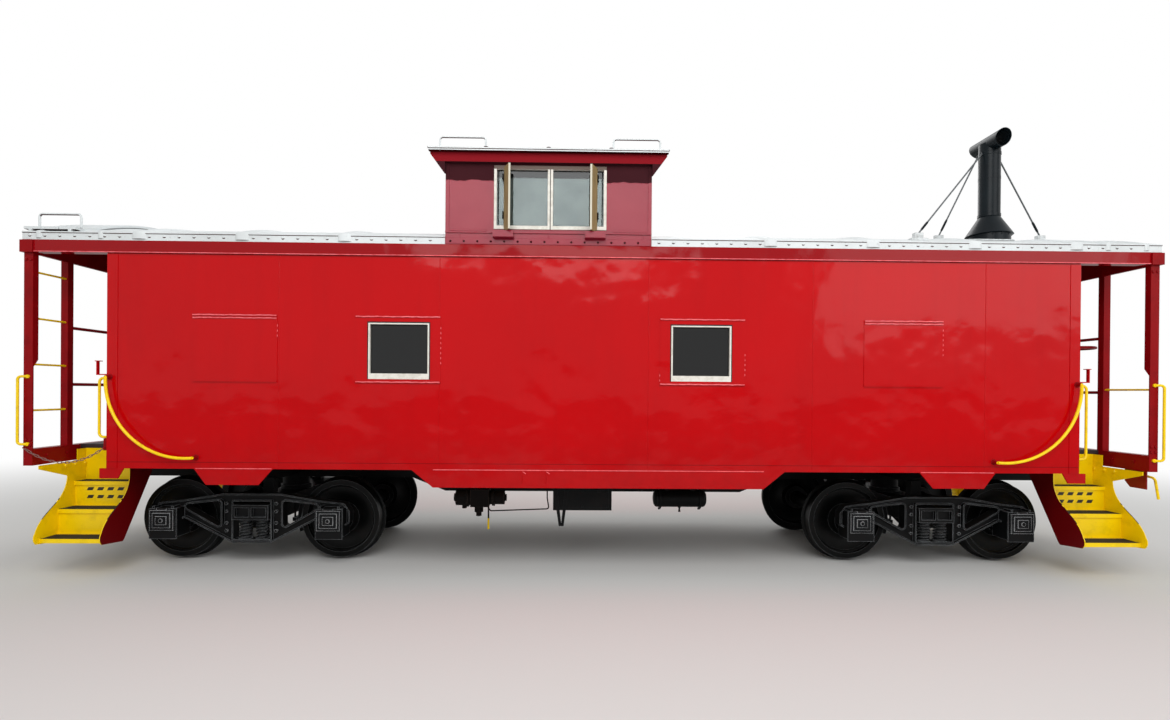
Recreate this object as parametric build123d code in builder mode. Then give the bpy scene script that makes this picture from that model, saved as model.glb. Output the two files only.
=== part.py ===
"""Steel cupola caboose on two four-wheel trucks.

Millimetres, +Z up, X along the car, Y across it. The near side is the side towards -Y.
The origin is on the floor under the wheel flanges, at the middle of the car.
"""
from build123d import *
import math
import os

os.makedirs("parts", exist_ok=True)

# Levels above the floor
flange_height = 26
wheel_radius = 419
axle_height = flange_height + wheel_radius
sill_bottom = 1060
floor_thickness = 75
deck_top = 1240
eave_bottom = 3115
eave_top = 3230
roof_edge_height = 75
roof_edge_top = eave_top + roof_edge_height
roof_rise = 270
roof_thickness = 60
crown_top = roof_edge_top + roof_rise

# Lengths and widths of the car
body_half_length = 4700
porch_length = 785
car_half_length = body_half_length + porch_length
body_half_width = 1525
eave_half_width = 1545
wall = 80
body_inner = body_half_width - wall
room_half_length = body_half_length - wall
truck_inset = 1125
truck_offset = body_half_length - truck_inset


def keep(builder, label):
    """Name a finished piece and write it to its own file."""
    builder.part.label = label
    export_step(builder.part, f"parts/{label}.step")


def block(x0, x1, y0, y1, z0, z1, mode=Mode.ADD):
    """A box between two corners, in the part that is being built."""
    with Locations(((x0 + x1) / 2, (y0 + y1) / 2, z0)):
        Box(x1 - x0, y1 - y0, z1 - z0, align=(Align.CENTER, Align.CENTER, Align.MIN), mode=mode)


def bent_bar(points, bend, radius):
    """A round bar along straight runs joined by bends, in the part that is being built."""
    with BuildLine() as path:
        FilletPolyline(*points, radius=bend)
    with BuildSketch(Plane(origin=path.line @ 0, z_dir=path.line % 0)) as section:
        Circle(radius)
    sweep(section.sketch, path=path.line)


def turned(x, y, z, radius, length, axis, mode=Mode.ADD):
    """A round rod, boss or bore that starts at a point and runs along an axis."""
    with Locations(Plane(origin=(x, y, z), z_dir=axis)):
        Cylinder(radius, length, align=(Align.CENTER, Align.CENTER, Align.MIN), mode=mode)


def arch_outline(half_width, edge, rise, bottom):
    """A closed outline with a straight foot, upright sides and an arched top."""
    Line((-half_width, bottom), (half_width, bottom))
    Line((half_width, bottom), (half_width, edge))
    ThreePointArc((half_width, edge), (0, edge + rise), (-half_width, edge))
    Line((-half_width, edge), (-half_width, bottom))


def across(x):
    """The plane across the car at x: its own x runs along +Y, its own y runs up."""
    return Plane(origin=(x, 0, 0), x_dir=(0, 1, 0), z_dir=(1, 0, 0))


def along(y):
    """The plane along the car at y: its own x runs along +X, its own y runs up, it faces -Y."""
    return Plane(origin=(0, y, 0), x_dir=(1, 0, 0), z_dir=(0, -1, 0))


# Cupola
cupola_left = -1496
cupola_right = 490
cupola_wall = 60
cupola_wall_top = 4105
cupola_rail_height = 91
cupola_rail_out = 45
cupola_roof_overhang = 95
cupola_end_overhang = 150
cupola_roof_thickness = 30
cupola_roof_rise = 290
visor_drop = 210
cupola_sill = 3358
ledge = 14

cupola_roof_half = body_half_width + cupola_roof_overhang
visor_tip_drop = 20
visor_tip_in = 10

# Wind deflectors and the shelves they stand on
deflector_reach = 134
deflector_lean = 55
deflector_thickness = 18
deflector_feet = [
    # wall x, lean direction
    (-936, 1),
    (-55, -1),
]
shelf_half = 98
shelf_out = 75
shelf_height = 62

# Windows: middle, width; the sill and head are common
window_sill = 1932
window_head = 2483
window_frame = 34
sash_side = 24
sash_low = 54
window_proud = 10
frame_depth = 50
glass_thickness = 6
glass_inset = 24
end_glass_inset = 27
side_windows = [
    # middle x, opening width
    (-1932, 600),
    (981, 600),
]
plate_low = 1895
plate_high = 2535
plate_out = 6
plate_lip_out = 14
plate_lip_height = 10
corner_strip_width = 100
corner_strip_out = 5
corner_strip_gap = 12
window_plates = [
    # left x, right x
    (-3891, -3091),
    (-2345, -1532),
    (580, 1406),
    (2569, 3343),
]
cupola_window_low = 3384
cupola_window_high = 3995
cupola_window_left = -1030
cupola_window_right = 52
cupola_end_window_width = 560
cupola_end_window_y = 640
cupola_end_window_low = 3560
cupola_end_window_high = 3980

# Marker lamp brackets on the body's ends
marker_y = 1490
marker_half = 16
marker_low = 1950
marker_plate = 10
marker_height = 130
marker_reach = 118
marker_cap_back = 34
marker_cap_front = 10
marker_cap_side = 6
marker_cap_thickness = 8

# Skirts under the side sill
belly_top_half = 1805
belly_bottom_half = 1600
belly_bottom = 892
skirt_thickness = 12
tab_outline = [
    (truck_offset - 444, sill_bottom),
    (truck_offset + 301, sill_bottom),
    (truck_offset + 189, 907),
    (truck_offset - 311, 907),
]
corner_tab_outline = [
    (body_half_length - 160, sill_bottom),
    (body_half_length + 69, sill_bottom),
    (body_half_length + 69, 963),
    (body_half_length - 104, 963),
]

# Ends
end_sill_depth = 85
end_sill_bottom = 1080
end_sill_in = car_half_length - end_sill_depth
post_width = 85
post_plate = 12
post_wing = 62
post_wing_end = 2030
inner_post = 70
ladder_post_y = 1085
plain_post_y = 965
header_thickness = 30
cap_out = 15
cap_drop = 6
cap_reach_in = 20
cap_gap = 0.5
cap_foot_thickness = 5
cap_foot_lap = 1
cap_size = 120
rung_radius = 10
rung_heights = (1607, 2047, 2489, 2933)
rung_x = end_sill_in + 25
plain_rung_height = 1888
rail_heights = (1860, 2440)
gate_post_y = 330
rail_radius = 16

# Steps
step_half = 305
step_middle = body_half_length + 330
step_noses = [
    # nose y, tread top z
    (1520, 380),
    (1312, 625),
    (1108, 872),
]
tread = 6
nosing_height = 40
stair_back = 950
stringer = 8
stringer_foot = 335
stringer_nose_out = 60
stringer_throat = 1190
stringer_heel = 1285
stringer_back = 865
wing_tip_height = 35
wing_root_height = 140

# Grab irons
grab_radius = 14
grab_out = 62

# Smokejack
jack_x = body_half_length - 550
jack_y = -1000
jack_radius = 102
jack_drum_radius = 196
jack_drum_top = 3511
jack_cone_radius = 221
jack_cone_top = 3705
jack_head_height = 4482
jack_head_radius = 84
jack_head_length = 470
stay_radius = 8
stay_collar = jack_head_height - jack_head_radius - 25
jack_wall = 7
stay_feet = [
    # foot x, foot y
    (jack_x - 950, -1330),
    (jack_x - 357, -700),
    (jack_x + 706, -800),
]

# Underframe
center_half_width = 160
center_belly = 640
center_belly_half = 1750
center_shallow = 800
center_shallow_half = 2150
bolster_half_length = 150
bolster_low = 700
bolster_belly_top = 860
bolster_belly_half = 700
bearer_low = 900
side_bearing_y = 635
side_bearing_half = 55
side_bearing_top = 690
side_bearing_gap = 6
coupler_height = 902
striker_half = 125
striker_out = 15
striker_bore_y = 80
striker_bore_z = 95
bearer_half = 40
bearers = (-1900, -700, 700, 1900)

# Trucks
wheelbase = 1676
wheel_inner = 677
wheel_width = 145
journal_y = 978
journal_end = 1090
journal_radius = 65
axle_radius = 78
wheel_seat = 92
rim_thickness = 66
plate_thickness = 24
hub_radius = 142
hub_inner = 648
hub_length = 178
flange_width = 32
box_half = 125
box_low = -135
box_high = 160
box_face = 1155
lid_width = 232
lid_height = 202
lid_thickness = 18
lid_gap = 3
lid_drop = 13
lid_pin_radius = 10
lid_pin_y = -box_face - lid_gap - lid_thickness / 2
lid_pin_z = axle_height + box_high - 2
lid_knuckle_half = 50
lid_steps = [
    # half width, half height, how far it stands out
    (88, 74, 6),
    (54, 42, 12),
]
lid_boss_radius = 20
lid_boss_out = 17
journal_clearance = 8
box_flange = 12
box_flange_thickness = 14
frame_face = journal_y + 60
frame_depth_y = 120
frame_web = 40
frame_flange = 14
frame_bottom = 230
frame_top = 740
chord_flat_half = 300
chord_end_top = 655
frame_corner = 26
frame_end_half = wheelbase / 2 + box_half + 45
seat_top = 268
column_in = 192
column_out = 318
opening_top = 660
bolster_clearance = 7
truck_bolster_low = 477
truck_bolster_top = 629
bolster_belly = 430
bolster_crown = 650
bolster_reach = 1075
center_plate_radius = 170
center_plate_gap = 2
spring_radius = 70
spring_groove = 14
spring_spacing = 88
spring_coils = 5
beam_offset = 318
beam_height = 420
beam_half = 20
beam_end = 765
shoe_gap = 10
shoe_thickness = 42
shoe_inner = 716
shoe_outer = 792
shoe_angle = 19
hanger_radius = 11
hanger_top = 700
truck_centers = (("left", -truck_offset), ("right", truck_offset))
side_signs = (("near", -1), ("far", 1))
rail_sides = (-1, 1)


def arc_height(y, half_width, edge, rise):
    """Height at y of an arch through both edges and the crown."""
    radius = (half_width**2 + rise**2) / (2 * rise)
    return edge + rise - radius + math.sqrt(radius**2 - y**2)


def roof_arc(y):
    """Height of the roof surface at y."""
    return arc_height(y, eave_half_width, roof_edge_top, roof_rise)


# Floor of the cabin, and the porch decks with their stair wells
with BuildPart() as floor:
    block(-room_half_length, room_half_length, -body_inner, body_inner, deck_top - floor_thickness,
          deck_top)
keep(floor, "floor")

with BuildPart() as porch_decks:
    for end in rail_sides:
        inner, outer = sorted((end * body_half_length, end * end_sill_in))
        block(inner, outer, -stair_back, stair_back, deck_top - 40, deck_top)
keep(porch_decks, "porch_decks")

# Side walls: sheet with window openings, raised window plates, eave rail, skirts
for side_name, side in side_signs:
    with BuildPart() as side_wall:
        inner, outer = sorted((side * body_inner, side * body_half_width))
        block(-body_half_length, body_half_length, inner, outer, sill_bottom, eave_top)
        rail_inner, rail_outer = sorted((side * body_inner, side * eave_half_width))
        block(-car_half_length, car_half_length, rail_inner, rail_outer, eave_bottom, eave_top)
        plate_inner, plate_outer = sorted((side * body_half_width, side * (body_half_width + plate_out)))
        for left, right in window_plates:
            block(left, right, plate_inner, plate_outer, plate_low, plate_high)
            lip = sorted((side * body_half_width, side * (body_half_width + plate_lip_out)))
            for height in (plate_low, plate_high - plate_lip_height):
                block(left, right, lip[0], lip[1], height, height + plate_lip_height)
        strip = sorted((side * body_half_width, side * (body_half_width + corner_strip_out)))
        for end in rail_sides:
            xs = sorted((end * body_half_length, end * (body_half_length - corner_strip_width)))
            block(xs[0], xs[1], strip[0], strip[1], sill_bottom, eave_bottom - corner_strip_gap)
        for middle, width in side_windows:
            block(middle - width / 2, middle + width / 2, -2 * body_half_width, 2 * body_half_width,
                  window_sill, window_head, mode=Mode.SUBTRACT)
        for end in rail_sides:
            xs = sorted((end * body_half_length, end * (body_half_length + marker_reach)))
            ys = sorted((side * (marker_y - marker_half), side * (marker_y + marker_half)))
            block(xs[0], xs[1], ys[0], ys[1], marker_low, marker_low + marker_plate)
            xs = sorted((end * (body_half_length + marker_reach - marker_plate),
                         end * (body_half_length + marker_reach)))
            block(xs[0], xs[1], ys[0], ys[1], marker_low, marker_low + marker_height)
            xs = sorted((end * (body_half_length + marker_reach - marker_cap_back),
                         end * (body_half_length + marker_reach + marker_cap_front)))
            block(xs[0], xs[1], ys[0] - marker_cap_side, ys[1] + marker_cap_side,
                  marker_low + marker_height,
                  marker_low + marker_height + marker_cap_thickness)
        with BuildSketch(along(side * body_half_width)):
            Polygon((-belly_top_half, sill_bottom), (belly_top_half, sill_bottom),
                    (belly_bottom_half, belly_bottom), (-belly_bottom_half, belly_bottom), align=None)
            for end in rail_sides:
                Polygon(*[(end * x, z) for x, z in tab_outline], align=None)
                Polygon(*[(end * x, z) for x, z in corner_tab_outline], align=None)
        extrude(amount=side * skirt_thickness)
    keep(side_wall, f"side_wall_{side_name}")

# End walls with the door opening
door_half_width = 350
door_low = deck_top + 12
door_high = 3130
door_clearance = 5
door_thickness = 44
knuckle_radius = 8
knuckle_length = 90
knuckle_heights = (1500, 2190, 2880)
hinge_x = room_half_length - knuckle_radius - 2
strap_reach = 60
door_window_half = 200
door_window_low = 2300
door_window_high = 2900
door_pane = 6
door_pane_depth = 16
handle_y = 285
handle_height = 2080
handle_out = 40
handle_length = 130
handle_radius = 9
for end_name, end in (("left", -1), ("right", 1)):
    with BuildPart() as end_wall:
        with BuildSketch(across(end * room_half_length)):
            with BuildLine():
                arch_outline(body_inner, eave_top, crown_top - roof_thickness - eave_top,
                             deck_top - floor_thickness)
            make_face()
            with Locations((0, (door_low + door_high) / 2)):
                Rectangle(2 * door_half_width, door_high - door_low, mode=Mode.SUBTRACT)
        extrude(amount=end * wall)
    keep(end_wall, f"end_wall_{end_name}")

    with BuildPart() as end_door:
        inner, outer = sorted((end * room_half_length, end * (room_half_length + door_thickness)))
        half = door_half_width - door_clearance
        block(inner, outer, -half, half, door_low + door_clearance, door_high - door_clearance)
        pane = sorted((end * (room_half_length + door_pane_depth),
                       end * (room_half_length + door_pane_depth + door_pane)))
        for x0, x1 in ((inner, pane[0]), (pane[1], outer)):
            block(x0, x1, -door_window_half, door_window_half, door_window_low, door_window_high,
                  mode=Mode.SUBTRACT)
        face = end * (room_half_length + door_thickness)
        turned(face, -end * handle_y, handle_height, 2 * handle_radius, 6, (end, 0, 0))
        turned(face, -end * handle_y, handle_height, handle_radius, handle_out, (end, 0, 0))
        turned(face + end * (handle_out - handle_radius), -end * (handle_y - handle_length), handle_height,
               handle_radius,
               handle_length, (0, -end, 0))
        for height in knuckle_heights:
            turned(end * hinge_x, end * door_half_width, height, knuckle_radius, knuckle_length, (0, 0, 1))
            strap = sorted((end * hinge_x, end * (room_half_length + 6)))
            reach = sorted((end * (door_half_width - strap_reach), end * door_half_width))
            edge = sorted((end * (door_half_width - strap_reach), end * half))
            block(strap[0], strap[1], edge[0], edge[1], height, height + knuckle_length)
            web = sorted((end * (hinge_x - 2), end * (hinge_x + 4)))
            block(web[0], web[1], reach[0], reach[1], height, height + knuckle_length)
    keep(end_door, f"end_door_{end_name}")

# Roof: two arched halves with the full-width cupola between them
with BuildPart() as roof:
    for x0, x1 in ((-car_half_length, cupola_left), (cupola_right, car_half_length)):
        with BuildSketch(across(x0)):
            with BuildLine():
                Line((eave_half_width, eave_top), (eave_half_width, roof_edge_top))
                ThreePointArc((eave_half_width, roof_edge_top), (0, crown_top),
                              (-eave_half_width, roof_edge_top))
                Line((-eave_half_width, roof_edge_top), (-eave_half_width, eave_top))
                Line((-eave_half_width, eave_top), (-body_inner, eave_top))
                ThreePointArc((-body_inner, eave_top), (0, crown_top - roof_thickness),
                              (body_inner, eave_top))
                Line((body_inner, eave_top), (eave_half_width, eave_top))
            make_face()
        extrude(amount=x1 - x0)
keep(roof, "roof")

# Cupola roof, side walls with their top rail and drip ledge, end walls with flared visors
cupola_inner = body_half_width - cupola_wall
cupola_reach = body_half_width + cupola_rail_out
cupola_soffit_rise = cupola_roof_rise - cupola_roof_thickness
with BuildPart() as cupola_roof:
    with BuildSketch(across(cupola_left - cupola_end_overhang)):
        with BuildLine():
            half = cupola_roof_half
            low = cupola_wall_top
            top = cupola_wall_top + cupola_roof_thickness
            Line((half, low), (half, top))
            ThreePointArc((half, top), (0, low + cupola_roof_rise), (-half, top))
            Line((-half, top), (-half, low))
            Line((-half, low), (-cupola_reach, low))
            ThreePointArc((-cupola_reach, low), (0, low + cupola_soffit_rise), (cupola_reach, low))
            Line((cupola_reach, low), (half, low))
        make_face()
    extrude(amount=cupola_right - cupola_left + 2 * cupola_end_overhang)
keep(cupola_roof, "cupola_roof")

with BuildPart() as cupola_sides:
    for side in rail_sides:
        inner, outer = sorted((side * cupola_inner, side * body_half_width))
        block(cupola_left, cupola_right, inner, outer, eave_top, cupola_wall_top + cupola_roof_thickness)
        rail = sorted((side * body_half_width, side * cupola_reach))
        block(cupola_left, cupola_right, rail[0], rail[1], cupola_wall_top - cupola_rail_height,
              cupola_wall_top)
        lip = sorted((side * body_half_width, side * (body_half_width + ledge)))
        block(cupola_left, cupola_right, lip[0], lip[1], cupola_sill - ledge, cupola_sill)
        shelf = sorted((side * body_half_width, side * (body_half_width + shelf_out)))
        for x, lean in deflector_feet:
            block(x - shelf_half, x + shelf_half, shelf[0], shelf[1], cupola_sill - shelf_height,
                  cupola_sill)
    block(cupola_window_left, cupola_window_right, -2 * body_half_width, 2 * body_half_width,
          cupola_window_low, cupola_window_high, mode=Mode.SUBTRACT)
    add(cupola_roof.part, mode=Mode.SUBTRACT)
keep(cupola_sides, "cupola_sides")

with BuildPart() as cupola_ends:
    for x, end in ((cupola_left, -1), (cupola_right, 1)):
        with BuildSketch(across(x)):
            with BuildLine():
                arch_outline(cupola_reach, cupola_wall_top, cupola_soffit_rise, eave_top)
            make_face()
            Rectangle(2 * cupola_inner, 4 * cupola_wall_top, mode=Mode.INTERSECT)
            with BuildLine():
                ThreePointArc((-body_inner, eave_top), (0, crown_top - roof_thickness),
                              (body_inner, eave_top))
                Line((body_inner, eave_top), (-body_inner, eave_top))
            make_face(mode=Mode.SUBTRACT)
            for y in (-cupola_end_window_y, cupola_end_window_y):
                with Locations((y, (cupola_end_window_low + cupola_end_window_high) / 2)):
                    Rectangle(cupola_end_window_width, cupola_end_window_high - cupola_end_window_low,
                              mode=Mode.SUBTRACT)
        extrude(amount=-end * cupola_wall)
        for step, depth in ((0, visor_drop), (cupola_end_overhang - visor_tip_in, visor_tip_drop)):
            with BuildSketch(across(x + end * step)):
                with BuildLine():
                    top = cupola_wall_top
                    Line((cupola_reach, top - depth), (cupola_reach, top))
                    ThreePointArc((cupola_reach, top), (0, top + cupola_soffit_rise), (-cupola_reach, top))
                    Line((-cupola_reach, top), (-cupola_reach, top - depth))
                    ThreePointArc((-cupola_reach, top - depth), (0, top - depth + cupola_soffit_rise),
                                  (cupola_reach, top - depth))
                make_face()
        loft(ruled=True)
keep(cupola_ends, "cupola_ends")

# Window frames and glass
with BuildPart() as window_frames:
    for side in rail_sides:
        for middle, width in side_windows:
            height = window_head - window_sill
            with BuildSketch(along(side * (body_half_width + window_proud))):
                with Locations((middle, (window_sill + window_head) / 2)):
                    Rectangle(width, height)
                with Locations((middle, (window_sill + sash_low + window_head - sash_side) / 2)):
                    Rectangle(width - 2 * sash_side, height - sash_low - sash_side, mode=Mode.SUBTRACT)
            extrude(amount=side * frame_depth)
        with BuildSketch(along(side * (body_half_width + window_proud))):
            width = cupola_window_right - cupola_window_left
            height = cupola_window_high - cupola_window_low
            center = (cupola_window_left + cupola_window_right) / 2
            with Locations((center, (cupola_window_low + cupola_window_high) / 2)):
                Rectangle(width, height)
                with Locations((-width / 4, 0), (width / 4, 0)):
                    Rectangle(width / 2 - 1.5 * window_frame, height - 2 * window_frame, mode=Mode.SUBTRACT)
        extrude(amount=side * frame_depth)
keep(window_frames, "window_frames")

with BuildPart() as window_glass:
    for side in rail_sides:
        pane = sorted((side * (body_half_width - glass_inset),
                       side * (body_half_width - glass_inset - glass_thickness)))
        for middle, width in side_windows:
            half = width / 2 - sash_side
            block(middle - half, middle + half, pane[0], pane[1], window_sill + sash_low,
                  window_head - sash_side)
        quarter = (cupola_window_right - cupola_window_left) / 4
        half = quarter - 0.75 * window_frame
        for middle in (cupola_window_left + quarter, cupola_window_right - quarter):
            block(middle - half, middle + half, pane[0], pane[1], cupola_window_low + window_frame,
                  cupola_window_high - window_frame)
    for x, end in ((cupola_left, -1), (cupola_right, 1)):
        pane = sorted((x - end * end_glass_inset, x - end * (end_glass_inset + glass_thickness)))
        for y in (-cupola_end_window_y, cupola_end_window_y):
            half = cupola_end_window_width / 2
            block(pane[0], pane[1], y - half, y + half, cupola_end_window_low, cupola_end_window_high)
keep(window_glass, "window_glass")

# Wind deflectors on the cupola sides: upright boards that lean towards the mullion
with BuildPart() as wind_deflectors:
    for side in rail_sides:
        for x, lean in deflector_feet:
            root = side * (body_half_width + window_proud + 4)
            tip = side * (body_half_width + deflector_reach)
            with BuildSketch(Plane.XY.offset(cupola_sill)):
                Polygon((x, root), (x + deflector_thickness, root),
                        (x + lean * deflector_lean + deflector_thickness, tip),
                        (x + lean * deflector_lean, tip),
                        align=None)
            extrude(amount=cupola_window_high - cupola_sill - 20)
keep(wind_deflectors, "wind_deflectors")

# End frames: end sill, corner posts, inner posts, arched header, corner caps.
# They are drawn at the right end; the left end is the same frame turned half round.
with BuildPart() as end_frame:
    block(end_sill_in, car_half_length, -body_half_width, body_half_width, end_sill_bottom, deck_top)
    for side in rail_sides:
        face = sorted((side * body_half_width, side * (body_half_width - post_plate)))
        block(end_sill_in, car_half_length, face[0], face[1], deck_top, eave_bottom)
        with BuildSketch(across(end_sill_in)):
            Polygon((side * body_half_width, eave_bottom),
                    (side * (body_half_width - post_wing), eave_bottom),
                    (side * (body_half_width - post_wing), post_wing_end + post_wing),
                    (side * body_half_width, post_wing_end - 20), align=None)
        extrude(amount=post_plate)
    for y in (ladder_post_y, -plain_post_y):
        block(end_sill_in, end_sill_in + inner_post, y - inner_post / 2, y + inner_post / 2, deck_top,
              eave_bottom)
    with BuildSketch(across(end_sill_in)):
        with BuildLine():
            arch_outline(body_inner, eave_top, crown_top - roof_thickness - eave_top, eave_bottom - 14)
        make_face()
    extrude(amount=header_thickness)
    for side in rail_sides:
        cap = sorted((side * (eave_half_width + cap_gap), side * (eave_half_width + cap_out)))
        block(car_half_length - cap_size + cap_out, car_half_length + cap_out, cap[0], cap[1],
              eave_bottom - cap_drop, eave_top - cap_drop)
        cap = sorted((side * (body_inner - cap_reach_in), side * (eave_half_width + cap_out)))
        block(car_half_length, car_half_length + cap_out, cap[0], cap[1], eave_bottom - cap_drop,
              eave_top - cap_drop)
        foot = sorted((side * (body_half_width - cap_foot_lap), side * (eave_half_width + cap_out)))
        block(end_sill_in, car_half_length + cap_out, foot[0], foot[1], eave_bottom - cap_drop,
              eave_bottom - cap_drop + cap_foot_thickness)
for end_name, turn in (("right", 0), ("left", 180)):
    with BuildPart() as placed:
        add(end_frame.part.rotate(Axis.Z, turn))
    keep(placed, f"end_frame_{end_name}")

# Ladder rungs at the far right and near left corners
with BuildPart() as end_ladders:
    inner_face = ladder_post_y + inner_post / 2
    outer_face = body_half_width - post_plate
    for turn in (1, -1):
        for height in rung_heights:
            turned(turn * rung_x, turn * inner_face, height, rung_radius, outer_face - inner_face,
                   (0, turn, 0))
        turned(turn * rung_x, -turn * (plain_post_y + inner_post / 2), plain_rung_height, rung_radius,
               outer_face - plain_post_y - inner_post / 2, (0, -turn, 0))
keep(end_ladders, "end_ladders")

# End railings on each side of the gate
with BuildPart() as end_railings:
    for turn in (1, -1):
        for post_y, side in ((ladder_post_y, 1), (plain_post_y, -1)):
            for height in rail_heights:
                turned(turn * rung_x, turn * side * (post_y - inner_post / 2), height, rail_radius,
                       post_y - inner_post / 2 - gate_post_y, (0, -turn * side, 0))
            turned(turn * rung_x, turn * side * gate_post_y, deck_top, rail_radius + 4,
                   rail_heights[-1] - deck_top + rail_radius + 4, (0, 0, 1))
keep(end_railings, "end_railings")

# Steps: two stringers with an S-shaped front edge, three treads with risers, and a wing plate
# under the end sill. The near right unit is drawn first.
with BuildPart() as step_unit:
    stair_top = deck_top - 42
    low_nose = step_noses[0][0] + stringer_nose_out
    for x in (step_middle - step_half - stringer, step_middle + step_half):
        with BuildSketch(across(x)):
            with BuildLine():
                throat = (-stringer_throat, end_sill_bottom - 110)
                knee = (-low_nose + 15, step_noses[0][1] + 60)
                Line((-stringer_throat, end_sill_bottom), throat)
                Spline(throat, knee, tangents=((0, -1), (-0.35, -1)))
                ThreePointArc(knee, (-low_nose, stringer_foot + 40), (-low_nose + 25, stringer_foot))
                Polyline((-low_nose + 25, stringer_foot), (-stringer_heel, stringer_foot - 30),
                         (-stringer_heel + 25, stringer_foot - 5), (-stringer_back, end_sill_bottom - 130),
                         (-stringer_back, stair_top), (-stair_back - 120, stair_top),
                         (-stair_back - 120, end_sill_bottom), (-stringer_throat, end_sill_bottom))
            make_face()
        extrude(amount=stringer)
    with BuildSketch(across(step_middle + step_half)):
        Polygon((-stringer_throat, end_sill_bottom - wing_root_height), (-stringer_throat, end_sill_bottom),
                (-body_half_width, end_sill_bottom), (-body_half_width, end_sill_bottom - wing_tip_height),
                align=None)
    extrude(amount=stringer)
    left = step_middle - step_half
    right = step_middle + step_half
    backs = [nose - 20 for nose, level in step_noses[1:]] + [stair_back]
    levels = [level for nose, level in step_noses[1:]] + [stair_top]
    for (nose, level), back, above in zip(step_noses, backs, levels):
        block(left, right, -nose, -back, level - tread, level)
        block(left, right, -nose, -nose + tread, level - nosing_height, level)
        block(left, right, -back - tread, -back, level - tread, above)
for end_name, turn in (("right", 0), ("left", 180)):
    with BuildPart() as steps:
        add(step_unit.part.rotate(Axis.Z, turn))
        mirror(about=Plane.XZ)
    keep(steps, f"steps_{end_name}")

# Curved grab irons that sweep down from the body corners to the side sills
rake_top = (body_half_length - 30, 1931)
rake_middle = (body_half_length - 310, 1325)
rake_low = (body_half_length - 844, 1169)
grab_foot_radius = 12
with BuildPart() as side_grab_irons:
    for side in rail_sides:
        for end in rail_sides:
            y = side * (body_half_width + grab_out)
            with BuildLine() as path:
                ThreePointArc((end * rake_top[0], y, rake_top[1]),
                              (end * rake_middle[0], y, rake_middle[1]),
                              (end * rake_low[0], y, rake_low[1]))
            with BuildSketch(Plane(origin=path.line @ 0, z_dir=path.line % 0)):
                Circle(grab_radius)
            sweep()
            for (x, z), proud in ((rake_top, corner_strip_out), (rake_low, 0)):
                turned(end * x, side * (body_half_width + proud), z, grab_foot_radius, grab_out - proud,
                       (0, side, 0))
keep(side_grab_irons, "side_grab_irons")

# Upright grab irons at the body corners and outside the corner posts
upright_radius = 12
upright_y = 1500
body_grab_out = 90
body_grab_top = 1921
post_grab_top = 1930
post_grab_x = car_half_length + 20
post_grab_y = body_half_width + 40
foot_length = 14
upright_grabs = [
    # end, side, low of body grab, low of post grab
    (-1, -1, 1357, 1286),
    (-1, 1, 1198, 1192),
    (1, -1, 1198, 1192),
    (1, 1, 1198, 1286),
]
with BuildPart() as porch_grab_irons:
    for end, side, body_low, post_low in upright_grabs:
        y = side * upright_y
        wall_x = end * body_half_length
        x = end * (body_half_length + body_grab_out)
        bent_bar([(wall_x, y, body_grab_top), (x, y, body_grab_top), (x, y, body_low),
                  (wall_x, y, body_low)],
                 40, upright_radius)
        x = end * post_grab_x
        y = side * post_grab_y
        post_x = end * (car_half_length - post_width / 2)
        face = side * body_half_width
        start = side * (body_half_width + foot_length - 3)
        bent_bar([(post_x, start, post_grab_top), (x, y, post_grab_top), (x, y, post_low),
                  (post_x, start, post_low)],
                 30, upright_radius)
        for z in (post_grab_top, post_low):
            turned(post_x, face, z, 17, foot_length, (0, side, 0))
keep(porch_grab_irons, "porch_grab_irons")

# Safety chain across the near left step opening, on an eye at each end
chain_sag = 150
chain_pitch = 31.6
chain_height = 1252
chain_eye_radius = 9
chain_eye_out = 6
chain_y = -(body_half_width + foot_length)
with BuildPart() as safety_chain:
    x_left = -car_half_length + 15
    x_right = -body_half_length - body_grab_out + 30
    span = x_right - x_left
    chain_links = round(span / chain_pitch)
    for index in range(chain_links):
        share = (index + 0.5) / chain_links
        x = x_left + span * share
        z = chain_height - chain_sag * (1 - (2 * share - 1) ** 2)
        slope = math.degrees(math.atan2(chain_sag * 4 * (2 * share - 1), span))
        with BuildSketch(along(chain_y)):
            with Locations(Location((x, z, 0), slope)):
                SlotOverall(span / chain_links * 1.5, 22)
        extrude(amount=3, both=True)
    turned(x_left, -body_half_width, chain_height, chain_eye_radius, foot_length + chain_eye_out,
           (0, -1, 0))
    block(x_right - 12, -body_half_length, -body_half_width, -body_half_width + 40, chain_height - 22,
          upright_grabs[0][2] - upright_radius)
    turned(x_right, -body_half_width, chain_height, chain_eye_radius, foot_length + chain_eye_out,
           (0, -1, 0))
keep(safety_chain, "safety_chain")

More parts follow.
